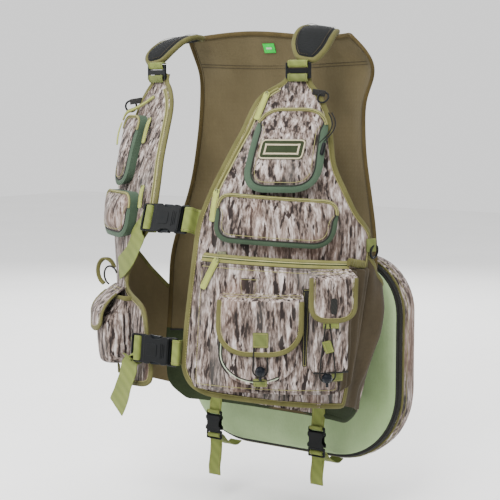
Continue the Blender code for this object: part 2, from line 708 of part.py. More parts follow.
def seat_straps():
    """Webbing from the back's hem down to a buckle, and from the seat's lower edge up to its plug."""
    across = Vector((1, 0, 0))
    stretch = (0.55, 0.7, 0.72)
    for side, word in ((1, "left"), (-1, "right")):
        x = side * SEAT_STRAP_X
        mouth = (x, SEAT_STRAP_Y - 8, -674.0)
        place = Matrix.Translation(mouth) @ Matrix.Rotation(math.radians(-90), 4, "Y")
        place = place @ Matrix.Rotation(math.pi, 4, "X")
        buckle(f"{word}_seat", place, stretch)
        tail = [(x, mouth[1] + 5.0, -624.0), (x, mouth[1] + 5.5, -612.0), (x, mouth[1] + 5.0, -592.0)]
        socket_strap(f"{word}_seat_strap", place, stretch, SEAT_WEBBING, tail, across, 1.3)

        def at(along, y, base=place):
            return base @ Vector((along * 0.55, y, 0))

        path = [Vector((x, SEAT_FRONT - 2.5, SEAT_BOTTOM + 3)), Vector((x, SEAT_FRONT - 12, SEAT_BOTTOM - 1))]
        path += [Vector((x, SEAT_STRAP_Y + 18, SEAT_BOTTOM + 8))]
        loop = [at(-10.5, 2.9), at(-10.4, -0.6), at(-13.0, -3.1), at(-16.0, -3.4), at(-19.5, -3.1)]
        loop += [at(-21.6, -0.8), at(-22.0, 1.6), at(-26.0, 4.3)]
        sign = 1 if at(0, 1).y > at(0, 0).y else -1
        loop = [Vector((p.x, mouth[1] + sign * (p.y - mouth[1]), p.z)) for p in loop]
        foot = SEAT_TAIL_END[word]
        hang = [Vector((x, mouth[1] + y, foot + z)) for y, z in ((4.6, 42), (3.0, 30), (0.0, 14), (1.0, 0))]
        ribbon(f"{word}_seat_tail", path + loop + hang, across, SEAT_WEBBING, "webbing", 1.3)


# ---------------------------------------------------------------- everything


def left_front():
    pocket("left_chest_pocket", 1, (97, 197), (-125, -247), 20, "camo_cloth", corner=22)
    pocket("left_map_pocket", 1, (64, 240), (-250, -322), 15, "camo_cloth", tilt=0.06, corner=18)
    pocket("left_cargo_pocket", 1, (46, 252), (-352, -540), 9, "camo_cloth", tilt=0.045, corner=10,
           side_depth=29, cols=13, splay=36)
    pocket("slate_pocket", 1, (86, 194), (-408, -530), 12, "camo_cloth", corner=46, base=cargo_face, open_top=True)
    flap("slate_flap", 1, (84, 198), (-402, -486), lambda s: cargo_face(s) + 14, 40, cargo_face)
    pocket("box_pocket", 1, (207, 252), (-372, -512), 26, "camo_cloth", corner=10, base=cargo_face,
           open_top=True, cols=5)
    flap("box_flap", 1, (203, 257), (-366, -434), lambda s: cargo_face(s) + 28, 22, cargo_face, cols=5)
    toggle("slate_toggle", 1, 144, -508, cargo_face(144) + 13, 8)
    toggle("box_toggle", 1, 222, -516, cargo_face(222) + 28, 8)
    elastic_loop("slate_cord", 1, 144, (-488, -516), cargo_face(144) + 16, 9.5)
    elastic_loop("box_cord", 1, 224, (-438, -523), cargo_face(222) + 30, 9.5)
    zip_pull("left_edge_zip_pull", 1, 92, -101, 36, 6.5, lean=-9)
    zip_pull("left_map_zip_pull", 1, 56, -246, 40, 8.0)
    slider = body_point(1, 78, -341, PANEL + 4.5)
    turn = Matrix.Translation(slider) @ Matrix.Rotation(math.radians(27), 4, "Z")
    block("cargo_zip_slider", (-7, -2.5, -3.6), (7, 2.5, 3.6), "zip_metal", turn, slider, bevel=0.8)
    zip_pull("cargo_zip_pull", 1, 76, -346, 42, 18.5, lean=-20)
    ring("left_chest_ring", 1, 182, -102, 8, 8, 1.4)
    ring("left_waist_ring", 1, 311, -330, 9, 10, 1.8)


def cargo_face(s):
    """How far the left cargo pocket's face stands out from the body, with room for what is sewn on it."""
    return POCKET_LIFT + 9 + 20 * (s - 46) / 206 + 1.4


def right_front():
    pocket("right_chest_pocket", -1, (142, 206), (-138, -250), 17, "camo_cloth", corner=26)
    pocket("right_map_pocket", -1, (108, 226), (-258, -330), 24, "camo_cloth", corner=24)
    pocket("right_pouch", -1, (110, 190), (-424, -530), 34, "camo_cloth", corner=28, open_top=True, bulge=6)
    flap("right_pouch_flap", -1, (106, 194), (-416, -476), lambda s: POCKET_LIFT + 42, 28, flat_base)
    zip_pull("right_chest_zip_pull", -1, 130, -142, 40, 7.0)
    zip_pull("right_map_zip_pull", -1, 97, -246, 36, 8.0)
    ring("right_chest_ring", -1, 205, -115, 14, 9, 1.6, tangent=Vector((0.8, 0.6, 0)))


def main():
    clear_scene()
    front_panel("left_front_panel", 1, FRONT_EDGE)
    front_panel("right_front_panel", -1, RIGHT_FRONT_EDGE)
    back_layers()
    side_panel("left_side_panel", 1)
    side_panel("right_side_panel", -1)
    shoulder(1, "left")
    shoulder(-1, "right")
    left_front()
    right_front()
    chest_and_waist()
    seat()
    seat_straps()


main()
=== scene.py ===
"""Looks for the turkey hunting vest: cloth, padding, piping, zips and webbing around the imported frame.

Lengths in the tables below are in millimetres, as the cloth is laid out: a place is (s, z, d), s along the
body's outline from the centre front (or centre back), z the height and d the distance out from the body.
"""

import math

import bmesh
import bpy
import numpy as np
from mathutils import Matrix, Vector


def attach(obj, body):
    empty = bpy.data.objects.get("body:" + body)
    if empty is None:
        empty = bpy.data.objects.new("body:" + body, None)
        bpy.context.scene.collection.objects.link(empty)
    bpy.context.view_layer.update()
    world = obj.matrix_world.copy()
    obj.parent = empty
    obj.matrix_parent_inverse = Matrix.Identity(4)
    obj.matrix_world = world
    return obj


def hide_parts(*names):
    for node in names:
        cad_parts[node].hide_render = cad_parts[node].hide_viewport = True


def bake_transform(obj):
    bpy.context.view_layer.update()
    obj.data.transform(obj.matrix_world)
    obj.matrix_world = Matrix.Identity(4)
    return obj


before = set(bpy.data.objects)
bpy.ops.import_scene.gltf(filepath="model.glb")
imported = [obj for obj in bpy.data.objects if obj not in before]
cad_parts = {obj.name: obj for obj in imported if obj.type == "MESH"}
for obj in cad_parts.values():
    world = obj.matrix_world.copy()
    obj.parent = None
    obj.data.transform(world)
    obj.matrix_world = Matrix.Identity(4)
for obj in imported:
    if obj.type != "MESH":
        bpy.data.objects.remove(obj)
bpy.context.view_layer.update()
MM = 0.001
TINY = 1e-12

# ------------------------------------------------------------------ the wearer's body, as in the frame

HALF_WIDTH = ((-720, 206), (-600, 207), (-500, 217), (-400, 232), (-300, 240), (-200, 222), (-100, 200),
              (0, 175))
FRONT_DEPTH = ((-720, 178), (-600, 178), (-500, 172), (-400, 160), (-300, 143), (-200, 110), (-100, 52),
               (0, 5))
BACK_DEPTH = (
    (-720, 80), (-640, 82), (-600, 86), (-500, 104), (-400, 118), (-300, 124), (-200, 129), (-100, 124),
    (-40, 105), (0, 85),
)
FRONT_POWER = 1.65
BACK_POWER = 3.0
FLARE = 26.0
FLARE_HEIGHT = -58.0
PANEL = 3.0
POCKET_LIFT = 4.5
UNDER_PANEL = -2.8

FRONT_EDGE = (
    (118, -72), (117, -84), (108, -90), (83, -106), (68, -166), (56, -210), (44, -248), (32, -296),
    (30, -345), (27, -414), (25, -480), (26, -518), (39, -540), (64, -553),
)
RIGHT_FRONT_EDGE = (
    (118, -72), (117, -84), (110, -90), (93, -112), (76, -166), (68, -210), (62, -248), (64, -300),
    (100, -345), (134, -405), (68, -436), (48, -492), (37, -528), (42, -546), (64, -554),
)
ARMHOLE_EDGE = (
    (154, -72), (155, -84), (163, -92), (187, -120), (212, -172), (226, -210), (249, -246), (272, -280),
    (308, -322), (306, -345), (300, -420), (296, -490), (290, -530), (286, -560), (282, -580),
)
BACK_RIGHT_EDGE = (
    (158, -8), (158, -40), (157, -66), (161, -114), (172, -200), (185, -268), (200, -320), (212, -374),
    (210, -462), (202, -560), (192, -600), (162, -624),
)
BACK_LEFT_EDGE = (
    (162, -8), (182, -40), (186, -66), (178, -114), (174, -200), (187, -268), (200, -320), (212, -374),
    (210, -462), (202, -560), (192, -600), (162, -624),
)
GRID_Z = np.arange(-760.0, 41.0, 4.0)
GRID_S = np.arange(0.0, 721.0, 2.0)


def hermite(t, a, b, slope_a, slope_b):
    return ((2 * t**3 - 3 * t**2 + 1) * a + (t**3 - 2 * t**2 + t) * slope_a
            + (3 * t**2 - 2 * t**3) * b + (t**3 - t**2) * slope_b)


def along_table(table, z):
    """A smooth curve through (height, value) pairs."""
    heights = np.array([row[0] for row in table], float)
    values = np.array([row[1] for row in table], float)
    i = int(np.clip(np.searchsorted(heights, z) - 1, 0, len(heights) - 2))
    step = heights[i + 1] - heights[i]
    t = float(np.clip((z - heights[i]) / step, 0, 1))
    slope = np.gradient(values, heights)
    return hermite(t, values[i], values[i + 1], step * slope[i], step * slope[i + 1])


def tabulate():
    """The outline at every height: x, y and their slopes along s, and half the girth."""
    angle = np.linspace(0, math.pi, 361)
    power = np.where(angle < math.pi / 2, 2 / FRONT_POWER, 2 / BACK_POWER)
    rows_x, rows_y, girths = [], [], []
    for z in GRID_Z:
        depth = np.where(angle < math.pi / 2, -along_table(FRONT_DEPTH, z), along_table(BACK_DEPTH, z))
        x = along_table(HALF_WIDTH, z) * np.abs(np.sin(angle)) ** power
        y = depth * np.abs(np.cos(angle)) ** power
        run = np.concatenate(([0.0], np.cumsum(np.hypot(np.diff(x), np.diff(y)))))
        rows_x.append(np.interp(GRID_S, run, x))
        rows_y.append(np.interp(GRID_S, run, y))
        girths.append(run[-1])
    x, y = np.array(rows_x), np.array(rows_y)
    dx, dy = np.gradient(x, axis=1), np.gradient(y, axis=1)
    for i, girth in enumerate(girths):
        last = int(girth // 2) - 1
        dx[i, last:], dy[i, last:] = -1.0, 0.0
    return x, y, dx, dy, np.array(girths)


TAB_X, TAB_Y, TAB_DX, TAB_DY, TAB_GIRTH = tabulate()


def girth_at(z):
    return np.interp(z, GRID_Z, TAB_GIRTH)


def look_up(tab, s, z):
    fi = np.clip((z - GRID_Z[0]) / 4.0, 0, len(GRID_Z) - 1.001)
    fj = np.clip(s / 2.0, 0, len(GRID_S) - 1.001)
    i, j = fi.astype(int), fj.astype(int)
    t, u = fi - i, fj - j
    top = tab[i, j] * (1 - u) + tab[i, j + 1] * u
    return top * (1 - t) + (tab[i + 1, j] * (1 - u) + tab[i + 1, j + 1] * u) * t


def lay(side, s, z, d):
    """Points in metres for cloth places. side is 1 on the wearer's left, -1 on the right."""
    s, z, d, side = np.broadcast_arrays(*[np.asarray(v, float) for v in (s, z, d, side)])
    dx, dy = look_up(TAB_DX, s, z), look_up(TAB_DY, s, z)
    size = np.hypot(dx, dy)
    x = look_up(TAB_X, s, z) + d * dy / size
    y = look_up(TAB_Y, s, z) - d * dx / size
    return np.stack([side * x, y, z], axis=-1) * MM


def lay_back(s, z, d):
    """The same from the centre back, where the cloth stands out behind the shoulders."""
    s, z, d = np.broadcast_arrays(*[np.asarray(v, float) for v in (s, z, d)])
    far = np.clip((np.abs(s) - 90) / 70, 0, 1) ** 2
    stand = FLARE * np.exp(-(((z - FLARE_HEIGHT) / 45) ** 2)) * far
    return lay(np.where(s >= 0, 1.0, -1.0), girth_at(z) - np.abs(s), z, d + stand)


def out_of(side, s, z, back=False):
    """Unit vectors out of the cloth."""
    if back:
        return unit(lay_back(s, z, 6.0) - lay_back(s, z, 0.0))
    return unit(lay(side, s, z, 6.0) - lay(side, s, z, 0.0))


def placed(side, s, z, d):
    """Points of a line in the cloth, and its normals."""
    return lay(side, s, z, d), out_of(side, s, z)


def placed_back(s, z, d):
    return lay_back(s, z, d), out_of(1, s, z, back=True)


def between(a, b, u):
    """Rows of values, each row running from its a to its b."""
    return a[:, None] * (1 - u) + b[:, None] * u


def unit(vectors):
    return vectors / (np.linalg.norm(vectors, axis=-1, keepdims=True) + TINY)


def eased(t):
    """Slow at both ends, from 0 to 1."""
    return t * t * (3 - 2 * t)


def waves(points, scale, seed):
    """Smooth noise from a fixed sum of waves, about -1 to 1. points are in metres, scale in metres."""
    draw = np.random.default_rng(seed)
    total = np.zeros(points.shape[:-1])
    for k in range(7):
        heading = draw.normal(size=3)
        heading /= np.linalg.norm(heading)
        size = (2 * math.pi / scale) * (0.6 + 0.9 * draw.random())
        total += np.sin(points @ (heading * size) + draw.random() * 6.283)
    return total / 3.2


# ------------------------------------------------------------------ curves in the cloth


def smooth(points, step):
    """A curve through the points, resampled about every step."""
    p = np.array(points, float)
    p = np.vstack([2 * p[0] - p[1], p, 2 * p[-1] - p[-2]])
    made = []
    for i in range(1, len(p) - 2):
        a, b, c, e = p[i - 1], p[i], p[i + 1], p[i + 2]
        gap = np.linalg.norm(c - b)
        before, after = max(np.linalg.norm(b - a), 1e-9), max(np.linalg.norm(e - c), 1e-9)
        m0 = ((b - a) / before * gap + (c - b) * before / max(gap, 1e-9)) / (before + gap) * gap
        m1 = ((c - b) / max(gap, 1e-9) * after + (e - c) / after * gap) / (after + gap) * gap
        count = max(1, int(round(gap / step)))
        for k in range(count):
            t = k / count
            made.append(hermite(t, b, c, m0, m1))
    return resample(np.vstack([np.array(made), p[-2]]), step)


def resample(points, step=None, closed=False, count=None):
    """Even points along a line, about step apart or as many as count."""
    p = np.vstack([points, points[:1]]) if closed else points
    run = np.concatenate(([0.0], np.cumsum(np.linalg.norm(np.diff(p, axis=0), axis=1))))
    count = count or max(2, int(round(run[-1] / step)))
    spots = np.linspace(0, run[-1], count + 1)
    if closed:
        spots = spots[:-1]
    return np.stack([np.interp(spots, run, p[:, k]) for k in range(p.shape[1])], axis=1)


def rounded(corners, step=3.0):
    """A closed outline through corners given as (s, z, radius)."""
    count = len(corners)
    points = []
    for i in range(count):
        here = np.array(corners[i][:2], float)
        radius = corners[i][2]
        before = np.array(corners[i - 1][:2], float) - here
        after = np.array(corners[(i + 1) % count][:2], float) - here
        before /= np.linalg.norm(before)
        after /= np.linalg.norm(after)
        half = math.acos(float(np.clip(before @ after, -1, 1))) / 2
        reach = radius / math.tan(half)
        start, stop = here + before * reach, here + after * reach
        for t in np.linspace(0, 1, 9):
            middle = here * 0.82 + (start + stop) * 0.09
            points.append((1 - t) ** 2 * start + 2 * t * (1 - t) * middle + t**2 * stop)
    return resample(np.array(points), step, True)


def inset(loop, amount):
    """The closed outline moved inwards."""
    ahead, behind = np.roll(loop, -2, axis=0), np.roll(loop, 2, axis=0)
    run = ahead - behind
    run /= np.linalg.norm(run, axis=1, keepdims=True)
    area = np.sum(loop[:, 0] * np.roll(loop[:, 1], -1) - np.roll(loop[:, 0], -1) * loop[:, 1])
    normal = np.stack([-run[:, 1], run[:, 0]], axis=1) * (1 if area > 0 else -1)
    return softened(loop + normal * amount, 2)


def softened(loop, times):
    """A closed line with each point drawn towards its neighbours."""
    for _ in range(times):
        loop = (np.roll(loop, 1, axis=0) + 2 * loop + np.roll(loop, -1, axis=0)) / 4
    return loop


def border(s, z):
    """The closed line round a grid of cloth places."""
    return np.vstack([np.stack([s[:, 0], z[:, 0]], 1), np.stack([s[-1, 1:], z[-1, 1:]], 1),
                      np.stack([s[-2::-1, -1], z[-2::-1, -1]], 1),
                      np.stack([s[0, -2:0:-1], z[0, -2:0:-1]], 1)])


# ------------------------------------------------------------------ meshes


def piece(name, points, faces, look, body="vest", stands_for=(), smooth_angle=50):
    mesh = bpy.data.meshes.new(name)
    mesh.from_pydata(np.asarray(points, float).tolist(), [], faces)
    work = bmesh.new()
    work.from_mesh(mesh)
    if work.calc_volume(signed=True) < 0:
        bmesh.ops.reverse_faces(work, faces=work.faces)
    work.to_mesh(mesh)
    work.free()
    mesh.shade_smooth()
    mesh.set_sharp_from_angle(angle=math.radians(14 if look == "plastic" else smooth_angle))
    made = bpy.data.objects.new(name, mesh)
    bpy.context.collection.objects.link(made)
    material, slot_name = LOOKS[look]
    mesh.materials.append(material)
    if isinstance(body, str):
        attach(made, body)
    if stands_for:
        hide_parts(*([stands_for] if isinstance(stands_for, str) else stands_for))
    return made


def grid_faces(rows, cols, shift=0, around=False, flip=False):
    faces = []
    for i in range(rows - 1):
        for j in range(cols if around else cols - 1):
            k = (j + 1) % cols
            above, below = shift + i * cols, shift + (i + 1) * cols
            quad = (above + j, above + k, below + k, below + j)
            faces.append(quad[::-1] if flip else quad)
    return faces


def shell(name, outer, inner, look, stands_for=()):
    """A closed sheet between two grids of points."""
    rows, cols = outer.shape[:2]
    points = np.concatenate([outer.reshape(-1, 3), inner.reshape(-1, 3)])
    shift = rows * cols
    faces = grid_faces(rows, cols) + grid_faces(rows, cols, shift, flip=True)
    rim = list(range(cols)) + [i * cols + cols - 1 for i in range(1, rows)]
    rim += [(rows - 1) * cols + j for j in range(cols - 2, -1, -1)]
    rim += [i * cols for i in range(rows - 2, 0, -1)]
    for a, b in zip(rim, rim[1:] + rim[:1]):
        faces.append((b, a, shift + a, shift + b))
    return piece(name, points, faces, look, stands_for=stands_for)


def ringed(name, rings, look, body="vest", stands_for=(), torus=False):
    """A closed skin through loops of equally many points. Without torus both ends close on their middles."""
    count = len(rings[0])
    points = np.concatenate(rings)
    faces = grid_faces(len(rings), count, around=True)
    last = (len(rings) - 1) * count
    if torus:
        faces += [(last + j, last + (j + 1) % count, (j + 1) % count, j) for j in range(count)]
    else:
        points = np.vstack([points, rings[0].mean(axis=0), rings[-1].mean(axis=0)])
        faces += [((j + 1) % count, j, len(points) - 2) for j in range(count)]
        faces += [(last + j, last + (j + 1) % count, len(points) - 1) for j in range(count)]
    return piece(name, points, faces, look, body, stands_for)


def squared(c, power):
    """A sine or cosine pushed towards the corners of a rounded square."""
    return np.sign(c) * np.abs(c) ** power


def sweep(name, path, normals, half_wide, half_thick, look, body="vest", stands_for=(), closed=False,
          power=2.6, sides=12, swell=None):
    """A rounded band along a path. normals give its flat side's direction at each point."""
    path, normals = np.asarray(path, float), np.asarray(normals, float)
    if closed:
        run = np.roll(path, -1, axis=0) - np.roll(path, 1, axis=0)
    else:
        run = np.gradient(path, axis=0)
    run = unit(run)
    across = unit(np.cross(run, normals))
    up = np.cross(across, run)
    rings = []
    scale = np.ones(len(path)) if swell is None else np.asarray(swell)
    for a in np.linspace(0, 2 * math.pi, sides, endpoint=False):
        c, s = math.cos(a), math.sin(a)
        w = half_wide * squared(c, 2 / power) * MM
        t = half_thick * squared(s, 2 / power) * MM
        rings.append(path + across * (w * scale)[:, None] + up * (t * scale)[:, None])
    stack = np.stack(rings, axis=1)
    if closed:
        points = stack.reshape(-1, 3)
        faces = grid_faces(len(path), sides, around=True)
        last = (len(path) - 1) * sides
        faces += [(last + j, last + (j + 1) % sides, (j + 1) % sides, j) for j in range(sides)]
        return piece(name, points, faces, look, body, stands_for)
    return ringed(name, list(stack), look, body, stands_for)


STITCHES = {}
STITCH_LIFT = 0.2
SQUARE = ((-1, -1), (1, -1), (1, 1), (-1, 1))


def stitch(body, look, path, normals, pitch=4.2, long=2.9, wide=0.75, high=0.5, closed=False):
    """A row of thread: short raised bars along a path, gathered into one piece for each body."""
    line = resample(np.hstack([path, normals]), pitch * MM, closed)
    p, n = line[:, :3], line[:, 3:]
    run = unit(np.gradient(p, axis=0))
    across = unit(np.cross(run, n))
    p = p + n * STITCH_LIFT * MM
    for k in range(1, len(p) - 1):
        bar = []
        for share, rise in ((0.5, 0.0), (0.3, high)):
            for a, b in SQUARE:
                bar.append(p[k] + run[k] * (a * long * share * MM) + across[k] * (b * wide * share * MM)
                           + n[k] * rise * MM)
        STITCHES.setdefault((body, look), []).append(bar)


def sew_all():
    """Makes the gathered stitches."""
    for (body, look), bars in STITCHES.items():
        points, faces = [], []
        for k, bar in enumerate(bars):
            points += bar
            faces += [tuple(8 * k + i for i in f) for f in
                      ((0, 3, 2, 1), (4, 5, 6, 7), (0, 1, 5, 4), (1, 2, 6, 5), (2, 3, 7, 6), (3, 0, 4, 7))]
        piece(f"stitching_{look}_{body}", points, faces, look, body, smooth_angle=20)


# ------------------------------------------------------------------ materials


EXPOSURE = 0.56


def rgb(text):
    """A linear colour from sRGB hex digits, darkened for the bright studio."""
    parts = [int(text[i:i + 2], 16) / 255 for i in (0, 2, 4)]
    line = [c / 12.92 if c <= 0.04045 else ((c + 0.055) / 1.055) ** 2.4 for c in parts]
    return tuple(min(1.0, c * EXPOSURE) for c in line) + (1.0,)


class Nodes:
    """A short way to write a node material."""

    def __init__(self, name):
        self.material = bpy.data.materials.new(name)
        self.material.use_nodes = True
        self.tree = self.material.node_tree
        self.shader = self.tree.nodes["Principled BSDF"]
        self.place = self.add("ShaderNodeTexCoord").outputs["Object"]

    def put(self, socket, value):
        """Links a socket to another one, or sets its number or colour."""
        if isinstance(value, bpy.types.NodeSocket):
            self.tree.links.new(value, socket)
        else:
            socket.default_value = value

    def add(self, kind, **inputs):
        node = self.tree.nodes.new(kind)
        for label, value in inputs.items():
            self.put(node.inputs[label], value)
        return node

    def scaled(self, x, y, z, source=None):
        node = self.add("ShaderNodeMapping", Vector=source or self.place)
        node.inputs["Scale"].default_value = (x, y, z)
        return node.outputs["Vector"]

    def noise(self, vector, detail=3.0, rough=0.55, distortion=0.0):
        node = self.add("ShaderNodeTexNoise", Vector=vector, Scale=1.0, Detail=detail, Roughness=rough,
                        Distortion=distortion)
        return node.outputs["Fac"]

    def ramp(self, source, stops):
        node = self.add("ShaderNodeValToRGB", Fac=source)
        node.color_ramp.interpolation = "LINEAR"
        while len(node.color_ramp.elements) < len(stops):
            node.color_ramp.elements.new(0.5)
        for element, (at, colour) in zip(node.color_ramp.elements, stops):
            element.position = at
            element.color = (*colour, 1.0)
        return node.outputs["Color"]

    def grey(self, source, low, high, a=0.0, b=1.0):
        node = self.add("ShaderNodeMapRange", Value=source)
        for label, value in (("From Min", low), ("From Max", high), ("To Min", a), ("To Max", b)):
            node.inputs[label].default_value = value
        return node.outputs["Result"]

    def mix(self, amount, a, b, blend="MIX"):
        node = self.tree.nodes.new("ShaderNodeMix")
        node.data_type = "RGBA"
        node.blend_type = blend
        for socket, value in ((node.inputs[0], amount), (node.inputs[6], a), (node.inputs[7], b)):
            self.put(socket, value)
        return node.outputs[2]

    def sum(self, a, b, how="ADD"):
        node = self.tree.nodes.new("ShaderNodeMath")
        node.operation = how
        for socket, value in zip(node.inputs, (a, b)):
            self.put(socket, value)
        return node.outputs[0]

    def weave(self, per_metre=900.0):
        """Height of a plain weave: two crossed sets of threads."""
        heights = []
        for direction in ("X", "Z"):
            node = self.add("ShaderNodeTexWave", Vector=self.place, Scale=per_metre / 20.0, Distortion=0.6)
            node.wave_type = "BANDS"
            node.bands_direction = direction
            heights.append(node.outputs["Fac"])
        return self.sum(heights[0], heights[1], "MULTIPLY")

    def finish(self, colour, rough, bump=None, strength=0.2, distance=0.0006, metallic=0.0, sheen=0.0,
               shine=0.16):
        for label, value in (("Base Color", colour), ("Roughness", rough), ("Metallic", metallic),
                             ("Sheen Weight", sheen), ("Specular IOR Level", shine)):
            self.put(self.shader.inputs[label], value)
        if bump is not None:
            node = self.add("ShaderNodeBump", Height=bump, Strength=strength, Distance=distance)
            self.tree.links.new(node.outputs["Normal"], self.shader.inputs["Normal"])
        return self.material


def camo(name, light=1.0):
    """Printed bark: upright streaks of pale grey, brown and near-black, on woven cloth."""
    n = Nodes(name)
    sway = n.noise(n.scaled(14, 14, 9), detail=2.0)
    swayed = n.add("ShaderNodeVectorMath")
    swayed.operation = "MULTIPLY_ADD"
    n.tree.links.new(n.add("ShaderNodeCombineXYZ", X=sway, Y=sway, Z=0.0).outputs[0], swayed.inputs[0])
    swayed.inputs[1].default_value = (0.012, 0.012, 0.0)
    n.tree.links.new(n.place, swayed.inputs[2])
    bent = swayed.outputs[0]
    broad = n.noise(n.scaled(112, 112, 23, bent), detail=5.0, rough=0.64)
    fine = n.noise(n.scaled(310, 310, 62, bent), detail=4.0, rough=0.65)
    split = n.noise(n.scaled(165, 165, 30, bent), detail=3.0, rough=0.55, distortion=0.3)
    blend = n.sum(n.sum(broad, 0.62, "MULTIPLY"), n.sum(fine, 0.38, "MULTIPLY"))
    stops = [
        (0.36, rgb("211c1b")), (0.425, rgb("443a35")), (0.463, rgb("6e6059")), (0.503, rgb("8f7f77")),
        (0.543, rgb("b0a29b")), (0.588, rgb("d2c6c1")), (0.65, rgb("f0e7e4")),
    ]
    colour = n.ramp(blend, [(at, tuple(min(1.0, c * light) for c in shade[:3])) for at, shade in stops])
    cracks = n.grey(split, 0.395, 0.45, 1.0, 0.0)
    colour = n.mix(cracks, colour, rgb("2c2422"))
    patch = n.noise(n.scaled(13, 13, 7), detail=2.0)
    colour = n.mix(n.grey(patch, 0.55, 0.68, 0.0, 0.42), colour, rgb("9a7c6c"))
    cool = n.noise(n.scaled(20, 20, 10), detail=1.0)
    colour = n.mix(n.grey(cool, 0.58, 0.70, 0.0, 0.30), colour, rgb("6f6f6c"))
    wear = n.noise(n.scaled(7, 7, 7), detail=3.0)
    colour = n.mix(n.grey(wear, 0.35, 0.75, 0.0, 0.14), colour, rgb("d9cfc8"), "SOFT_LIGHT")
    height = n.sum(n.weave(), n.sum(blend, 0.6, "MULTIPLY"))
    return n.finish(colour, n.grey(fine, 0.3, 0.7, 0.78, 0.93), height, 0.4, 0.0006, sheen=0.04)


def cloth_look(name, base, dark, weave=900.0, streaks=6.0, amount=0.55):
    """Plain dyed cloth with uneven colour."""
    n = Nodes(name)
    cloud = n.noise(n.scaled(streaks, streaks, streaks * 0.7), detail=5.0, rough=0.6)
    thread = n.noise(n.scaled(600, 600, 140), detail=2.0)
    colour = n.mix(n.grey(cloud, 0.35, 0.68, 0.0, amount), rgb(base), rgb(dark))
    colour = n.mix(n.grey(thread, 0.3, 0.7, 0.0, 0.18), colour, rgb(dark))
    height = n.sum(n.weave(weave), n.sum(thread, 0.5, "MULTIPLY"))
    return n.finish(colour, n.grey(cloud, 0.3, 0.7, 0.79, 0.91), height, 0.3, 0.0005, sheen=0.04)


def webbing_look(name, base, dark, ribs=620.0):
    """Ribbed tape: a fine crosswise rib and a herringbone hint."""
    n = Nodes(name)
    wave = n.add("ShaderNodeTexWave", Vector=n.scaled(1, 1, 1), Scale=ribs / 20.0, Distortion=1.2)
    wave.wave_type = "BANDS"
    wave.bands_direction = "DIAGONAL"
    grain = n.noise(n.scaled(420, 420, 420), detail=3.0)
    cloud = n.noise(n.scaled(22, 22, 22), detail=2.0)
    colour = n.mix(n.grey(wave.outputs["Fac"], 0.0, 1.0, 0.0, 0.35), rgb(base), rgb(dark))
    colour = n.mix(n.grey(cloud, 0.35, 0.7, 0.0, 0.35), colour, rgb(dark))
    height = n.sum(wave.outputs["Fac"], n.sum(grain, 0.6, "MULTIPLY"))
    return n.finish(colour, n.grey(grain, 0.3, 0.7, 0.62, 0.82), height, 0.45, 0.0006, sheen=0.03)


def plastic_look(name, base, rough=0.34):
    """Moulded plastic with a fine spark-eroded grain; its convex edges are lightened to a bluish grey, a
    painted highlight.
    """
    n = Nodes(name)
    grain = n.noise(n.scaled(1500, 1500, 1500), detail=3.0)
    cloud = n.noise(n.scaled(60, 60, 60), detail=3.0)
    edge = n.add("ShaderNodeNewGeometry").outputs["Pointiness"]
    colour = n.mix(n.grey(cloud, 0.4, 0.7, 0.0, 0.25), rgb(base), rgb("10151b"))
    # Painted highlight: convex edges (pointiness) mixed towards a bluish grey.
    colour = n.mix(n.grey(edge, 0.54, 0.66, 0.0, 0.25), colour, rgb("2c343c"))
    return n.finish(colour, n.grey(cloud, 0.3, 0.7, rough - 0.05, rough + 0.12), grain, 0.12, 0.0003,
                    shine=0.15)


def mesh_look(name, base, dark):
    """Spacer mesh: rows of small dark holes."""
    n = Nodes(name)
    cells = n.add("ShaderNodeTexVoronoi", Vector=n.place, Scale=420.0, Randomness=0.25)
    holes = n.grey(cells.outputs["Distance"], 0.18, 0.42, 1.0, 0.0)
    cloud = n.noise(n.scaled(18, 18, 18), detail=3.0)
    colour = n.mix(holes, rgb(base), rgb(dark))
    colour = n.mix(n.grey(cloud, 0.35, 0.7, 0.0, 0.4), colour, rgb(dark))
    return n.finish(colour, 0.85, cells.outputs["Distance"], 0.5, 0.0008, sheen=0.0)


def metal_look(name, base):
    n = Nodes(name)
    scratch = n.noise(n.scaled(900, 900, 90), detail=4.0)
    colour = n.mix(n.grey(scratch, 0.4, 0.7, 0.0, 0.4), rgb(base), rgb("3a3a34"))
    return n.finish(colour, n.grey(scratch, 0.3, 0.7, 0.28, 0.5), scratch, 0.15, 0.0002, metallic=0.85,
                    shine=0.5)


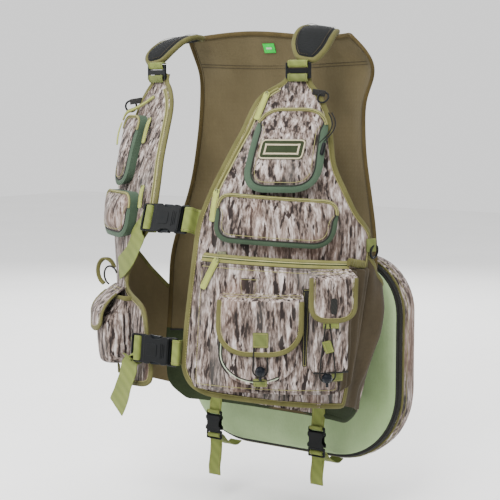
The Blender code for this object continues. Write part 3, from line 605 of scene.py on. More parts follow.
LOOKS = {
    "camo": (camo("camo_bark"), "camo_cloth"),
    # The camo print darkened to 0.62: painted shade, used on the cargo pocket's piping.
    "camo_shade": (camo("camo_bark_shaded", light=0.62), "camo_cloth"),
    "lining": (cloth_look("lining_brown", "74684a", "50462f", streaks=9.0), "lining_cloth"),
    "binding": (cloth_look("binding_olive", "706d40", "4e4b28", weave=1500.0, streaks=30.0), "camo_cloth"),
    "binding_brown": (cloth_look("binding_tan", "5c4e2b", "3c331a", weave=1500.0, streaks=30.0),
                      "lining_cloth"),
    "hem_dark": (cloth_look("hem_dark_olive", "343f26", "1f2714", weave=1200.0, streaks=14.0),
                 "lining_cloth"),
    "tape_khaki": (cloth_look("tape_khaki", "8f8c55", "6c6b38", weave=1500.0, streaks=40.0), "pull_tape"),
    "tape_pale": (cloth_look("tape_khaki_pale", "bdb983", "97945f", weave=1500.0, streaks=40.0), "pull_tape"),
    "lime": (cloth_look("tape_lime", "bcc46a", "959d4c", weave=1500.0, streaks=40.0), "pull_tape"),
    "rim": (cloth_look("rim_green", "4f6350", "354636", weave=1200.0, streaks=12.0), "camo_cloth"),
    "rim_dark": (cloth_look("rim_dark_green", "465744", "2c3a2a", weave=1200.0, streaks=14.0), "camo_cloth"),
    "gusset": (cloth_look("gusset_brown", "544936", "2e271b", weave=1000.0, streaks=16.0), "camo_cloth"),
    "webbing": (webbing_look("webbing_olive", "879249", "606b31"), "webbing"),
    "webbing_dark": (webbing_look("webbing_green", "788147", "50592b"), "webbing"),
    "thread": (cloth_look("thread_olive", "b3ad70", "8a854e", weave=3000.0), "camo_cloth"),
    "thread_cream": (cloth_look("thread_cream", "d8ccae", "a4977a", weave=3000.0), "camo_cloth"),
    "thread_dark": (cloth_look("thread_brown", "4c4434", "332d22", weave=3000.0), "lining_cloth"),
    "plastic": (plastic_look("plastic_black", "030506", rough=0.46), "black_plastic"),
    "plastic_blue": (plastic_look("plastic_black_gloss", "0a0f16", rough=0.22), "black_plastic"),
    "elastic": (webbing_look("elastic_black", "23221f", "0f0f0e", ribs=2600.0), "black_elastic"),
    "zip_black": (webbing_look("zip_tape_black", "2a2a27", "121211", ribs=1800.0), "black_elastic"),
    "pad": (mesh_look("spacer_mesh", "191b1c", "090a0a"), "pad_cloth"),
    "seat_green": (cloth_look("seat_face_green", "bad2a0", "86a468", weave=800.0, streaks=6.0, amount=0.6),
                   "seat_cloth"),
    "metal": (metal_look("zip_metal_dull", "8f9072"), "zip_metal"),
    "tag": (cloth_look("tag_green", "12e850", "0cb038", weave=1500.0, streaks=50.0), "lining_cloth"),
    "tag_pale": (cloth_look("tag_pale", "d9e6c8", "a9c29a", weave=1500.0, streaks=50.0), "lining_cloth"),
}


# ------------------------------------------------------------------ front panels


def edge_curve(edge):
    curve = smooth(edge, 4.0)
    order = np.argsort(-curve[:, 1], kind="stable")
    return curve[order]


def s_at(curve, z):
    return np.interp(-np.asarray(z, float), -curve[:, 1], curve[:, 0])


def panel_rows(front, armhole, lowest):
    """The two ends of every row of a front panel, from the top down."""
    heights = np.concatenate([np.arange(-72, -100, -3.0), np.arange(-100, -580, -6.0), [-580.0]])
    foot = -np.interp(-heights, (500, 580), (500, -lowest))
    front_z = np.where(heights > -500, np.maximum(heights, lowest), foot)
    return np.stack([s_at(front, front_z), front_z], 1), np.stack([s_at(armhole, heights), heights], 1)


def wrinkled(side, s, z, d, amount, seed):
    """Cloth with soft folds: upright drags and a few slanting ones."""
    base = lay(side, s, z, d)
    folds = waves(base, 0.085, seed) * 0.6 + waves(base * np.array([1, 1, 0.35]), 0.04, seed + 1) * 0.4
    return lay(side, s, z, d + folds * amount)


def front_panel(word, side, edge, cad, lowest):
    front, armhole = edge_curve(edge), edge_curve(ARMHOLE_EDGE)
    left, right = panel_rows(front, armhole, lowest)
    u = np.linspace(0, 1, 46)[None, :]
    s, z = between(left[:, 0], right[:, 0], u), between(left[:, 1], right[:, 1], u)
    ease = np.minimum(1.0, np.minimum(u, 1 - u) * 9)
    outer = wrinkled(side, s, z, PANEL, 1.3 * ease, 11 if side > 0 else 12)
    inner = lay(side, s, z, 0.6 + 0 * s)
    shell(f"{word}_front_cloth", outer, inner, "camo", stands_for=cad)
    loop = softened(resample(border(s, z), 3.5, True), 3)
    inner_line = inset(loop, 2.6)
    sweep(f"{word}_front_binding", *placed(side, *inner_line.T, 1.8), 4.6, 2.3, "binding", closed=True)
    stitch("vest", "thread", *placed(side, *inset(loop, 5.9).T, 3.9), closed=True)
    zip_z = np.linspace(-97, -252, 46) if side > 0 else np.linspace(-97, -300, 56)
    track = s_at(front, zip_z) + 3.0 * np.clip((zip_z + 130) / 40, 0, 1)
    for offset, half, look in ((11.4, 3.6, "tape_khaki"), (8.2, 0.9, "tape_pale"), (14.6, 0.9, "tape_pale")):
        sweep(f"{word}_edge_zip_{int(offset)}", *placed(side, track + offset, zip_z, PANEL + 0.9), half, 0.7,
              look)
    teeth(f"{word}_edge_zip_teeth", *placed(side, track + 11.4, zip_z, PANEL + 1.6), "binding")
    folds = waves(lay(side, s, z, 0.1 + 0 * s), 0.07, 15) * 1.2 * ease
    shell(f"{word}_front_lining", lay(side, s, z, 0.4 + 0 * s), lay(side, s, z, -1.0 - np.abs(folds)),
          "lining")


def teeth(name, path, normals, look, wide=1.7, thick=0.9):
    """A zip's coil: a bumpy cord."""
    line = resample(np.hstack([path, normals]), 1.7 * MM / 2)
    swell = np.where(np.arange(len(line)) % 2 == 0, 1.0, 0.72)
    sweep(name, line[:, :3], line[:, 3:], wide, thick, look, sides=6, swell=swell)


# ------------------------------------------------------------------ back


def back_wrinkle(points):
    """Slack folds of the lining, slanting from the shoulders to the middle."""
    a = waves(points * np.array([1.0, 0.3, 0.45]), 0.11, 21)
    b = waves(points * np.array([0.6, 0.3, 1.4]), 0.09, 22)
    fade = np.clip((-0.10 - points[..., 2]) / 0.12, 0, 1) * 0.6 + 0.4
    return (a * 3.2 + b * 2.4) * fade


def back_grid(d, rows=96, z_low=-624.0):
    """Points of the back at distance d, with their places in the cloth."""
    right, left = edge_curve(BACK_RIGHT_EDGE), edge_curve(BACK_LEFT_EDGE)
    heights = np.linspace(-8, z_low, rows)
    s0, s1 = -s_at(right, heights), s_at(left, heights)
    u = np.linspace(0, 1, 70)[None, :]
    s = between(s0, s1, u)
    dip = 5.0 * np.sin(math.pi * u * 2 - 0.6) * np.clip(1 + (heights[:, None] + 8) / 45, 0, 1)
    z = heights[:, None] + dip + 0 * u
    base = lay_back(s, z, d)
    ease = np.minimum(1.0, np.minimum(u, 1 - u) * 10)
    return lay_back(s, z, d + back_wrinkle(base) * ease), s, z


def back():
    inner, s, z = back_grid(0.0)
    shell("back_lining_cloth", back_grid(1.7)[0], inner, "lining", "back_lining")
    shell("back_yoke_cloth", back_grid(3.7, 50, -322)[0], back_grid(2.2, 50, -322)[0], "camo", "back_yoke")
    loop = resample(border(s, z), 4.0, True)
    line = inset(loop, 2.4)
    edge = placed_back(*line.T, 1.6)
    sweep("back_edge_binding", *edge, 4.2, 3.0, "binding_brown", closed=True)
    sweep("hem_binding", *part_of(*edge, line[:, 1] <= -505), 4.7, 3.5, "hem_dark")
    seam, normals = placed_back(*inset(loop, 6.0).T, -0.2)
    stitch("vest", "thread_dark", seam, -normals, closed=True)
    for height, bow, ends, look, d, face_side in (
        (-52, -6, (-150, 168), "thread_dark", -0.1, -1), (-56.5, -6, (-150, 168), "thread_dark", -0.1, -1),
        (-104, 10, (-158, 172), "thread", 3.8, 1), (-108, 10, (-158, 172), "thread", 3.8, 1),
    ):
        across = np.linspace(*ends, 90)
        z_row = height + bow * np.cos(across / 170 * 1.4)
        base = lay_back(across, z_row, 0.0)
        row = lay_back(across, z_row, back_wrinkle(base) + d)
        stitch("vest", look, row, face_side * out_of(1, across, z_row, back=True))
    neck_label()
    game_bag()
    low_back_trim()


def neck_label():
    """A plain woven label, folded double, sewn under the neck edge."""
    for name, across, down, lift, thick, look in (
        ("neck_label", (-21, 1, 12), (-22, -37, 8), 0.9, 1.1, "tag"),
        ("neck_label_dash", (-15.5, -4.5, 8), (-28.2, -31.4, 4), 2.1, 0.5, "tag_pale"),
    ):
        s, z = np.meshgrid(np.linspace(*across), np.linspace(*down))
        off = back_wrinkle(lay_back(s, z, 0.0)) - lift
        shell(name, lay_back(s, z, off), lay_back(s, z, off - thick), look)


def game_bag():
    """The bag on the back, deeper towards its foot, with a bound mouth and a binding down each side."""
    rows, cols = 44, 64
    v = np.linspace(0, 1, rows)[:, None]
    u = np.linspace(-1, 1, cols)[None, :]
    wide = np.interp(v, (0, 0.3, 0.8, 1), (190, 200, 190, 168))
    z = -332.0 - 280.0 * v + 0 * u
    s = wide * u
    edge = np.clip((1 - np.abs(u)) * 9, 0, 1) ** 0.5
    depth = (9.0 + 26.0 * v**1.6) * edge
    base = lay_back(s, z, 4.0)
    folds = waves(base * np.array([1, 1, 0.4]), 0.06, 31) * 1.2 * edge
    outer = lay_back(s, z, 3.6 + depth - 1.2 + np.minimum(folds, 0.9))
    inner = lay_back(s, z, 2.4 + depth - 1.2 + np.minimum(folds, 0.9))
    foot_u = np.linspace(0, 1, 6)[1:, None]
    foot_d = 3.6 + (depth[-1:] - 1.2) * (1 - foot_u**2)
    foot = lay_back(s[-1:], z[-1:] - 3.0 * foot_u, foot_d)
    foot_in = lay_back(s[-1:], z[-1:] - 3.0 * foot_u + 1.0, foot_d - 1.2)
    shell("game_bag_cloth", np.concatenate([outer, foot]), np.concatenate([inner, foot_in]), "camo",
          stands_for="game_bag")
    normals = out_of(1, s[0], z[0], back=True)
    sweep("game_bag_binding", outer[0] - normals * 0.0006, normals, 1.9, 5.0, "binding", power=3.0)
    for sign, word in ((-1, "r"), (1, "l")):
        sweep(f"game_bag_side_binding_{word}", *placed_back(sign * wide[:, 0], z[:, 0], 4.6), 4.2, 1.3,
              "binding")
    for part in (0.33, 0.66):
        k = int(part * (rows - 1))
        stitch("vest", "thread", outer[k, 3:-3], out_of(1, s[k, 3:-3], z[k, 3:-3], back=True))


def low_back_trim():
    """Dark green facing inside the hem of the back, with a black piping."""
    rows, cols = 20, 60
    z = np.linspace(-508, -620, rows)[:, None]
    right = s_at(edge_curve(BACK_RIGHT_EDGE), z[:, 0])[:, None] - 4
    u = np.linspace(-1, 1, cols)[None, :]
    s = right * u
    base = lay_back(s, z + 0 * u, 0.0)
    off = back_wrinkle(base) * np.minimum(1.0, (1 - np.abs(u)) / 2 * 10)
    shell("hem_facing", lay_back(s, z + 0 * u, off - 0.4), lay_back(s, z + 0 * u, off - 1.6), "hem_dark")
    middle = (s > -66) & (s < 118)
    keep = np.where(middle.all(axis=0))[0]
    part = slice(keep[0], keep[-1] + 1)
    sm, zm, om = s[8:, part], (z + 0 * u)[8:, part], off[8:, part]
    shell("hem_camo_strip", lay_back(sm, zm, om - 1.7), lay_back(sm, zm, om - 2.8), "camo")
    sweep("hem_facing_piping", *placed_back(s[0], z[0] + 0 * s[0], off[0] - 1.4), 1.5, 1.3, "zip_black")


def side_panel(word, side):
    armhole = edge_curve(ARMHOLE_EDGE)
    back_edge = edge_curve(BACK_LEFT_EDGE)
    t = np.linspace(0, 1, 30)
    z0, z1 = -346 - 232 * t, -436 - 162 * t
    s0 = s_at(armhole, z0) + 1.2
    s1 = girth_at(z1) - s_at(back_edge, z1) - 1.2
    u = np.linspace(0, 1, 16)[None, :]
    s, z = between(s0, s1, u), between(z0, z1, u)
    ease = np.sin(math.pi * np.clip(u, 0, 1))
    base = lay(side, s, z, 0.0)
    fold = waves(base, 0.05, 41) * 1.4 * ease
    if side > 0:
        fold = fold + 20.0 * ease * np.sin(math.pi * np.clip(t * 1.02 + 0.14, 0, 1))[:, None]
        fold = fold + 2.6 * np.sin(u * 15.0 + t[:, None] * 2.2) * ease
    shell(f"{word}_side_cloth", lay(side, s, z, 2.3 + fold), lay(side, s, z, 0.4 + fold),
          "gusset" if side > 0 else "lining", stands_for=f"{word}_side_panel")
    top = lay(side, s[0], z[0], 1.4 + fold[0])
    sweep(f"{word}_side_binding", top, out_of(side, s[0], z[0]), 3.6, 2.2, "binding")


# ------------------------------------------------------------------ pockets


def flat(s):
    return POCKET_LIFT + 0 * s


def cargo_depth(s):
    return POCKET_LIFT + 9 + 20 * (np.asarray(s, float) - 46) / 206


def on_cargo(s):
    return cargo_depth(s) + 1.4


def drawn_in(loop, e, top=None):
    """The outline moved in by e, less so near its top edge."""
    ring = inset(loop, e) if abs(e) > 0.01 else loop
    if top is None:
        return ring
    w = eased(np.clip((loop[:, 1] - top(loop[:, 0]) + 34) / 24, 0, 1))[:, None]
    return ring * (1 - w) + inset(loop, e * 0.12 + 0.2) * w


def rim(name, side, loop, depth, roll, look, stands_for, top):
    """A pocket's side wall, a soft roll round its face."""
    places = [(2.5, -2.4)]
    for t in np.linspace(0.05, 1, 9):
        up = math.sin(t * math.pi / 2)
        places.append((roll * 0.55 * (1 - up**0.8) * 0.35, depth * up * 0.86))
    for t in np.linspace(0.15, 1, 7):
        places.append((roll * 0.9 * t, depth * (0.86 + 0.14 * math.sin(t * math.pi / 2 * 1.6))))
    places += [(roll * 0.95, depth * 0.9), (roll * 0.9, depth * 0.3)]
    rings = [lay(side, *drawn_in(loop, e, top).T, POCKET_LIFT + d) for e, d in places]
    ringed(name, rings, look, stands_for=stands_for, torus=True)


def face(name, side, loop, e, depth, crown, base=flat, seed=51, wrinkle=0.8, top=None):
    """A pocket's front, crowned, with a rounded edge, closed behind."""
    first = drawn_in(loop, e, top)
    middle = first.mean(axis=0)
    levels = [0.0, 0.03, 0.07, 0.12, 0.2, 0.3, 0.42, 0.55, 0.7, 0.85]
    rings = []
    for f in reversed(levels):
        ring = first + (middle - first) * f
        rings.append(lay(side, ring[:, 0], ring[:, 1], base(ring[:, 0]) + depth - 2.6))
    for f in levels:
        ring = first + (middle - first) * f
        rise = crown * (1 - (1 - f) ** 2.4) - 1.2 * math.exp(-f * 26)
        points = lay(side, ring[:, 0], ring[:, 1], 0.0)
        fold = waves(points * np.array([1, 1, 0.6]), 0.045, seed) * wrinkle * min(1.0, f * 6)
        rings.append(lay(side, ring[:, 0], ring[:, 1], base(ring[:, 0]) + depth + rise + fold))
    ringed(name, rings, "camo")


def zipper(name, path, normals, tape, line, coil):
    """A zip's tape, the line along it and its teeth. The last two start with how far they stand off it."""
    sweep(f"{name}_zip_tape", path, normals, *tape)
    lift, wide, look = line
    sweep(f"{name}_zip_line", path + normals * lift * MM, normals, wide, 0.8, look)
    lift, wide, thick, look = coil
    teeth(f"{name}_zip_teeth", path + normals * lift * MM, normals, look, wide, thick)


def part_of(path, normals, keep):
    """The stretch of a closed line where keep is true, starting where it begins."""
    keep = np.asarray(keep)
    starts = [i for i in range(len(keep)) if keep[i] and not keep[i - 1]]
    start = starts[0] if starts else 0
    order = [(start + k) % len(keep) for k in range(len(keep))]
    picked = []
    for i in order:
        if not keep[i]:
            break
        picked.append(i)
    return path[picked], normals[picked]


def zip_pocket(name, side, corners, depth, roll, look, cad, top, crown=4.0, seed=51):
    """A moulded pocket: soft rim round its sides and foot, camo face, a dark seam and a zip over its top."""
    loop = rounded(corners)
    rim(f"{name}_rim", side, loop, depth * 0.95, roll, look, cad, top)
    face(f"{name}_face", side, loop, roll * 0.8, depth * 0.86, crown, seed=seed, top=top)
    line = drawn_in(loop, roll * 0.86, top)
    path, normals = placed(side, *line.T, POCKET_LIFT + depth * 0.94)
    keep = loop[:, 1] < top(loop[:, 0]) - 16
    seam, seam_out = part_of(path, normals, keep)
    sweep(f"{name}_piping", seam, seam_out, 0.9, 0.9, "zip_black")
    ring = drawn_in(loop, roll + 3.2, top)
    keep = loop[:, 1] < top(loop[:, 0]) - 20
    line = placed(side, *ring.T, POCKET_LIFT + depth * 0.86 + crown * 0.33)
    stitch("vest", "thread", *part_of(*line, keep))
    keep = loop[:, 1] > top(loop[:, 0]) - 24
    path, normals = part_of(*placed(side, *inset(loop, 2.2).T, POCKET_LIFT + depth * 0.93), keep)
    zipper(name, path, normals, (2.7, 1.2, "tape_khaki"), (1.1, 1.3, "tape_pale"), (1.8, 0.9, 0.5, "binding"))


def skin(name, side, loop, depth_at, thick, look, body="vest", stands_for=(), seed=61, wrinkle=0.6,
         levels=(0.0, 0.02, 0.05, 0.1, 0.17, 0.26, 0.38, 0.5, 0.64, 0.8, 0.92)):
    """A sheet inside an outline, lying where depth_at(s, z) says."""
    middle = (loop.max(axis=0) + loop.min(axis=0)) / 2
    rings = []
    for out in (False, True):
        for f in (levels if out else levels[::-1]):
            ring = loop + (middle - loop) * f
            base = depth_at(ring[:, 0], ring[:, 1])
            spots = lay(side, ring[:, 0], ring[:, 1], 0.0)
            fold = waves(spots, 0.05, seed) * wrinkle * min(1.0, f * 8)
            rings.append(lay(side, ring[:, 0], ring[:, 1], base + fold + (thick if out else 0.0)))
    return ringed(name, rings, look, body, stands_for)


def open_pocket(name, side, s_span, z_span, corner, depth, base, cad, crown=2.0, power=6.0, seed=63,
                mouth=1.0, swell=30.0):
    """A pocket open at its top: a boxy bulge with rounded lower corners, swelling from its mouth down."""
    (s0, s1), (top, bottom) = s_span, z_span
    rows, cols = 40, 46
    t = np.linspace(0, 1, rows)
    z = top + (bottom - top) * (1 - (1 - t) ** 1.5)
    into = np.clip((bottom + corner - z) / corner, 0, 1)
    cut = corner * (1 - np.sqrt(np.clip(1 - into**2, 0, 1)))
    half = np.maximum((s1 - s0) / 2 - cut, 2.0)
    close = np.clip((bottom + 9 - z) / 9, 0, 1)
    fall = np.clip(1 - close**power, 0, 1) ** (1 / power)
    a = np.linspace(math.pi, 0, cols)
    c, q = np.cos(a), np.sin(a)
    across = squared(c, 2 / power)
    up = np.clip(q, 0, 1) ** (2 / power)
    s = (s0 + s1) / 2 + half[:, None] * across[None, :]
    zz = z[:, None] + 0 * s
    bulge = crown * (1 - across[None, :] ** 2) * np.sin(math.pi * np.clip(0.15 + 0.85 * t, 0, 1))[:, None]
    full = mouth + (1 - mouth) * eased(np.clip((top - z) / swell, 0, 1))
    d = (depth + bulge) * up[None, :] * (fall * full)[:, None]
    spots = lay(side, s, zz, d)
    fold = waves(spots, 0.04, seed) * 0.7 * np.clip(up[None, :] * 2 - 1, 0, 1)
    low = base(s) + 0 * s
    outer = lay(side, s, zz, low + d + fold - 0.2)
    inner_s = (s0 + s1) / 2 + np.maximum(half[:, None] - 1.5, 0.5) * across[None, :]
    inner = lay(side, inner_s, zz + 1.3 * close[:, None], low + np.maximum(d - 1.5, -0.4) + fold)
    shell(name, outer, inner, "camo", cad)
    normals = out_of(side, s[0], zz[0])
    rim_path = lay(side, s[0], zz[0], low[0] + d[0] - 0.8)
    run = np.gradient(rim_path, axis=0)
    outward = np.cross(run, np.array([0, 0, 1.0]))
    outward *= np.sign(np.sum(outward * normals, axis=1).mean())
    sweep(f"{name}_mouth_binding", rim_path, unit(outward), 4.0, 1.6, "binding")


def flap_piece(name, side, s_span, z_span, corner, root, lift, body, seed=71, reach=12.0, crown=1.6,
               lead=0.0):
    """A pocket's flap with its binding, sewn down along its top. lead slants its inner edge."""
    (s0, s1), (top, bottom) = s_span, z_span
    loop = rounded([(s0 + lead, top + 7, 3), (s1, top + 7, 3), (s1, bottom, corner), (s0, bottom, corner)],
                   2.5)

    def depth_at(s, z, more=0.0):
        ease = eased(np.clip((top + 7 - z) / reach, 0, 1) ** (1.0 if reach < 13 else 0.6))
        rise = crown * (1 - ((s - (s0 + s1) / 2) / ((s1 - s0) / 2)) ** 2) * ease
        low, high = root(s) + 1.0, lift(s)
        return low + (high - low) * ease + rise + more

    cloth = skin(name + "_cloth", side, loop, depth_at, 2.0, "camo", None, name, seed=seed)
    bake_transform(cloth)
    line = inset(loop, 2.4)
    path = lay(side, line[:, 0], line[:, 1], depth_at(line[:, 0], line[:, 1], 1.1))
    keep = loop[:, 1] < top - 2
    sweep(f"{name}_binding", *part_of(path, out_of(side, line[:, 0], line[:, 1]), keep), 3.7, 2.1, "binding",
          body)
    line = inset(loop, 6.0)
    path = lay(side, line[:, 0], line[:, 1], depth_at(line[:, 0], line[:, 1], 2.3))
    stitch(body, "thread", *part_of(path, out_of(side, line[:, 0], line[:, 1]), keep))
    across = np.linspace(s0 + lead + 4, s1 - 4, 40)
    for height in (top + 4.5, top + 1.5):
        base = lay(side, across, height, depth_at(across, height + 0 * across, 2.1))
        stitch("vest", "thread", base, out_of(side, across, height + 0 * across))
    return depth_at


def tab(name, side, s, z, d, half_s, half_z, look, body="vest", lean=0.0, ends=None):
    """A small flat tab of tape with softened corners. d is its underside; ends makes it a trapezoid."""
    narrow = half_s if ends is None else ends
    corners = [(-half_s, half_z), (half_s, half_z), (narrow, -half_z), (-narrow, -half_z)]
    c, q = math.cos(lean), math.sin(lean)
    loop = rounded([(s + a * c - b * q, z + a * q + b * c, 1.2) for a, b in corners], 1.2)
    level = d if callable(d) else (lambda a, b: d + 0 * a)
    thick = 1.4
    skin(name, side, loop, level, thick, look, body, wrinkle=0.0, levels=(0.0, 0.06, 0.3, 0.7))
    ring = inset(loop, 1.6)
    stitch(body, "thread", lay(side, ring[:, 0], ring[:, 1], level(ring[:, 0], ring[:, 1]) + thick),
           out_of(side, ring[:, 0], ring[:, 1]), closed=True, pitch=2.6, long=1.8, wide=0.6)


def hang(name, side, spots, half, look):
    """A short loop of webbing that holds a ring."""
    path, out = placed(side, *smooth(spots, 1.5).T)
    normals = np.cross(np.array([0, 0, 1.0]), np.gradient(path, axis=0))
    normals *= np.sign(np.sum(normals * out, axis=1))[:, None]
    sweep(name, path, unit(normals), half, 1.2, look, power=5.0)


def pull(name, side, s, top, length, d, lean, body, stands_for):
    """A zip's pull: a doubled tape with a rounded end, on a short cord."""
    t = np.linspace(0, 1, 22)
    ss, zz = s + lean * t, top - length * t
    dd = d + 0.7 * np.sin(t * math.pi * 1.3)
    swell = np.clip(np.minimum(1, 0.62 + 6 * t), 0, 1) * np.clip(0.6 + (1 - t) * 9, 0.6, 1)
    path, out = placed(side, ss, zz, dd)
    sweep(name + "_tape", path, out, 5.0, 1.1, "lime", body, stands_for, power=4.0, swell=swell)
    inner = path[3:-2] + out[3:-2] * 0.0010
    across = unit(np.cross(np.gradient(path, axis=0), out))
    for edge in (-3.5, 3.5):
        stitch(body, "thread", inner + across[3:-2] * edge * MM, out[3:-2], pitch=2.6, long=1.8, wide=0.55)
    knot = lay(side, s, top - 3.0, d + 1.4)
    turn = np.linspace(0, 2 * math.pi, 15)[:-1]
    loop = knot + np.stack([2.2 * np.cos(turn), 0 * turn, 3.2 * np.sin(turn)], 1) * MM
    sweep(name + "_loop", loop, np.tile(np.array([[0, -1.0, 0.0]]), (len(turn), 1)), 0.8, 0.8, "metal", body,
          closed=True, power=2.0, sides=8)


# ------------------------------------------------------------------ left front


def left_front():
    front_panel("left", 1, FRONT_EDGE, "left_front_panel", -553)
    chest = [(97, -125, 30), (197, -125, 34), (210, -249, 34), (97, -249, 32)]
    zip_pocket("left_chest_pocket", 1, chest, 20, 12, "rim", "left_chest_pocket", lambda s: -125 + 0 * s,
               crown=4.0)
    patch = rounded([(114, -171, 4), (176, -171, 4), (176, -200, 4), (114, -200, 4)])
    skin("left_chest_patch", 1, patch, lambda s, z: 24.6 + 0 * s, 2.6, "hem_dark", wrinkle=0.0)
    for word, e, d, wide, thick in (("edge", 1.2, 27.0, 1.1, 1.0), ("bar", 8.0, 27.2, 1.3, 0.8)):
        sweep(f"left_chest_patch_{word}", *placed(1, *inset(patch, e).T, d), wide, thick, "thread_cream",
              closed=True)
    low = [(64, -250, 16), (240, -260.6, 22), (240, -332.6, 28), (64, -322, 26)]
    zip_pocket("left_map_pocket", 1, low, 15, 9, "rim_dark", "left_map_pocket",
               lambda s: -250 - 0.06 * (s - 64), crown=2.6, seed=53)
    cargo()
    pull("left_edge_pull", 1, 94, -101, 42, 7.8, -5, "left_edge_zip_pull_body", "left_edge_zip_pull")
    pull("left_map_pull", 1, 57, -246, 48, 9.4, 0, "left_map_zip_pull_body", "left_map_zip_pull")
    pull("left_cargo_pull", 1, 76, -346, 46, 19.9, -20, "cargo_zip_pull_body", "cargo_zip_pull")
    t = np.linspace(0, 1, 24)
    cs, cz = 199 + 9 * np.sin(t * math.pi * 1.05), -132 - 44 * t
    for word, inwards in (("", 0), ("_back", 1)):
        path = lay(1, cs - 4 * inwards, cz, 18 + inwards + 4 * t)
        sweep(f"left_chest_cord{word}", path, out_of(1, cs, cz), 1.0, 1.0, "elastic", power=2.0, sides=8)
    end = np.linspace(-176, -194, 10)
    sweep("left_chest_cord_end", *placed(1, 200 + 0 * end, end, 22.5), 3.2, 2.6, "plastic",
          swell=[0.7, 0.95, 1, 1, 1, 1, 1, 1, 0.95, 0.7])
    hang("left_chest_ring_loop", 1, ((164, -101, 4.2), (171, -102, 6.0), (178, -103, 8.0), (184, -104, 8.8)),
         4.6, "elastic")
    hang("left_waist_ring_loop", 1, ((296, -330, 5.2), (302, -330, 7.0), (307, -330, 9.2), (311, -330, 10.4)),
         10.0, "webbing_dark")


def cargo():
    loop = rounded([(46, -352, 6), (252, -361.3, 6), (252, -549.3, 10), (46, -540, 10)], 3.0)
    armhole = edge_curve(ARMHOLE_EDGE)

    def shift(ring, t):
        far = np.clip((ring[:, 0] - 240) / 12, 0, 1)
        moved = ring.copy()
        moved[:, 0] += (s_at(armhole, ring[:, 1]) + 2.5 - 252) * far * (1 - t)
        return moved

    rings = []
    for t in np.linspace(0, 1, 31):
        moved = shift(loop, t)
        far = np.clip((loop[:, 0] - 244) / 8, 0, 1)
        wander = 0.5 * np.sin(loop[:, 1] / 31.0) + 0.35 * np.sin(loop[:, 1] / 13.0 + 1.0)
        fold = 3.0 * np.sin(t * math.pi * 6 + wander) * math.sin(math.pi * t) * far
        depth = 0.5 + (cargo_depth(loop[:, 0]) - POCKET_LIFT - 0.5) * t ** 0.85
        rings.append(lay(1, moved[:, 0] + fold * 0.6, moved[:, 1], POCKET_LIFT + depth + fold))
    for e, back in ((2.2, 0.8), (3.0, -1.0), (3.0, -3.0)):
        s, z = inset(loop, e).T
        rings.append(lay(1, s, z, cargo_depth(s) + back))
    rings.append(lay(1, s, z, flat(s) - 1.5))
    ringed("left_cargo_gusset", rings, "gusset", stands_for="left_cargo_pocket", torus=True)
    face("left_cargo_face", 1, loop, 1.0, 1.2, 1.6, base=cargo_depth, seed=55, wrinkle=1.1)
    s, z = inset(loop, 1.6).T
    # The piping takes the darkened camo: painted shade round the pocket's edge.
    sweep("left_cargo_piping", *placed(1, s, z, cargo_depth(s) + 0.6), 1.9, 1.3, "camo_shade", closed=True)
    s, z = inset(loop, 6.5).T
    stitch("vest", "thread", *placed(1, s, z, cargo_depth(s) + 1.6), closed=True)
    s = np.linspace(50, 258, 80)
    z = -345.5 - 0.045 * (s - 46)
    depth = 8.5 + (cargo_depth(s) - 8.5) * 0.62
    tilt = unit(out_of(1, s, z) + np.array([0, 0, 0.9]))
    path = lay(1, s, z, depth)
    zipper("left_cargo", path, tilt, (7.6, 1.0, "tape_khaki"), (1.0, 2.4, "hem_dark"),
           (1.7, 1.2, 0.6, "tape_pale"))
    s = np.linspace(256, 290, 26)
    z = -350 - 0.25 * (s - 256)
    gather = 1.15 + 0.3 * np.sin(np.arange(26) * 1.9)
    sweep("left_gusset_elastic", *placed(1, s, z, 30 - 0.62 * (s - 256)), 4.6, 2.6, "binding", swell=gather)
    slate()
    box_call()


def slate():
    open_pocket("slate_pocket_body", 1, (86, 194), (-408, -530), 46, 12, on_cargo, "slate_pocket", crown=1.4)
    a = np.linspace(math.pi, 2 * math.pi, 44)
    s = np.concatenate([[87.5] * 9, 140 + 52.5 * np.cos(a), [192.5] * 9])
    z = np.concatenate([np.linspace(-430, -480, 9), -484 + 44.5 * np.sin(a), np.linspace(-480, -430, 9)])
    line = resample(np.stack([s, z], 1), 2.0)
    line = line[:int(len(line) * 0.62)]
    middle = np.array([140.0, -470.0])
    for extra, lift, look, size in ((0.0, 9.4, "zip_black", 1.5), (2.6, 11.4, "tag_pale", 0.9),
                                    (4.4, 12.4, "zip_black", 0.8)):
        ring = line + unit(middle - line) * extra
        sweep(f"slate_piping_{int(extra)}", *placed(1, *ring.T, on_cargo(ring[:, 0]) + lift), size, size,
              look, power=2.0, sides=8)
    depth_at = flap_piece("slate_flap", 1, (84, 198), (-402, -486), 40, on_cargo, lambda s: on_cargo(s) + 14,
                          "slate_flap_body")
    tab("slate_top_tab", 1, 124, -386, lambda a, b: cargo_depth(a) + 2.6, 14, 12, "camo", ends=10)
    tab("slate_flap_tab", 1, 144, -462, lambda a, b: depth_at(a, b, 2.4), 10, 11, "webbing_dark",
        "slate_flap_body")
    tab("slate_anchor_tab", 1, 144, -526, lambda a, b: on_cargo(a) + 11.5, 9, 6, "webbing_dark")
    cord("slate_elastic", 144, -470, -516, on_cargo(144) + 17.4, 9.5, "slate_flap_body", "slate_cord",
         narrow=0.12)


def cord(name, s, top, foot, d, half, body, cad, narrow=0.55):
    """A doubled elastic: down one side, round the foot and up the other."""
    drop = np.linspace(0, 1, 14)
    a = np.linspace(math.pi, 2 * math.pi, 12)[1:-1]
    wide = half * (1 - narrow * (1 - drop) ** 1.2)
    ss = np.concatenate([s - wide, s + half * np.cos(a), (s + wide)[::-1]])
    straight = top + (foot + half - top) * drop
    zz = np.concatenate([straight, foot + half + half * np.sin(a), straight[::-1]])
    sweep(name, *placed(1, ss, zz, d), 1.25, 1.25, "elastic", body, cad, power=2.0, sides=8)


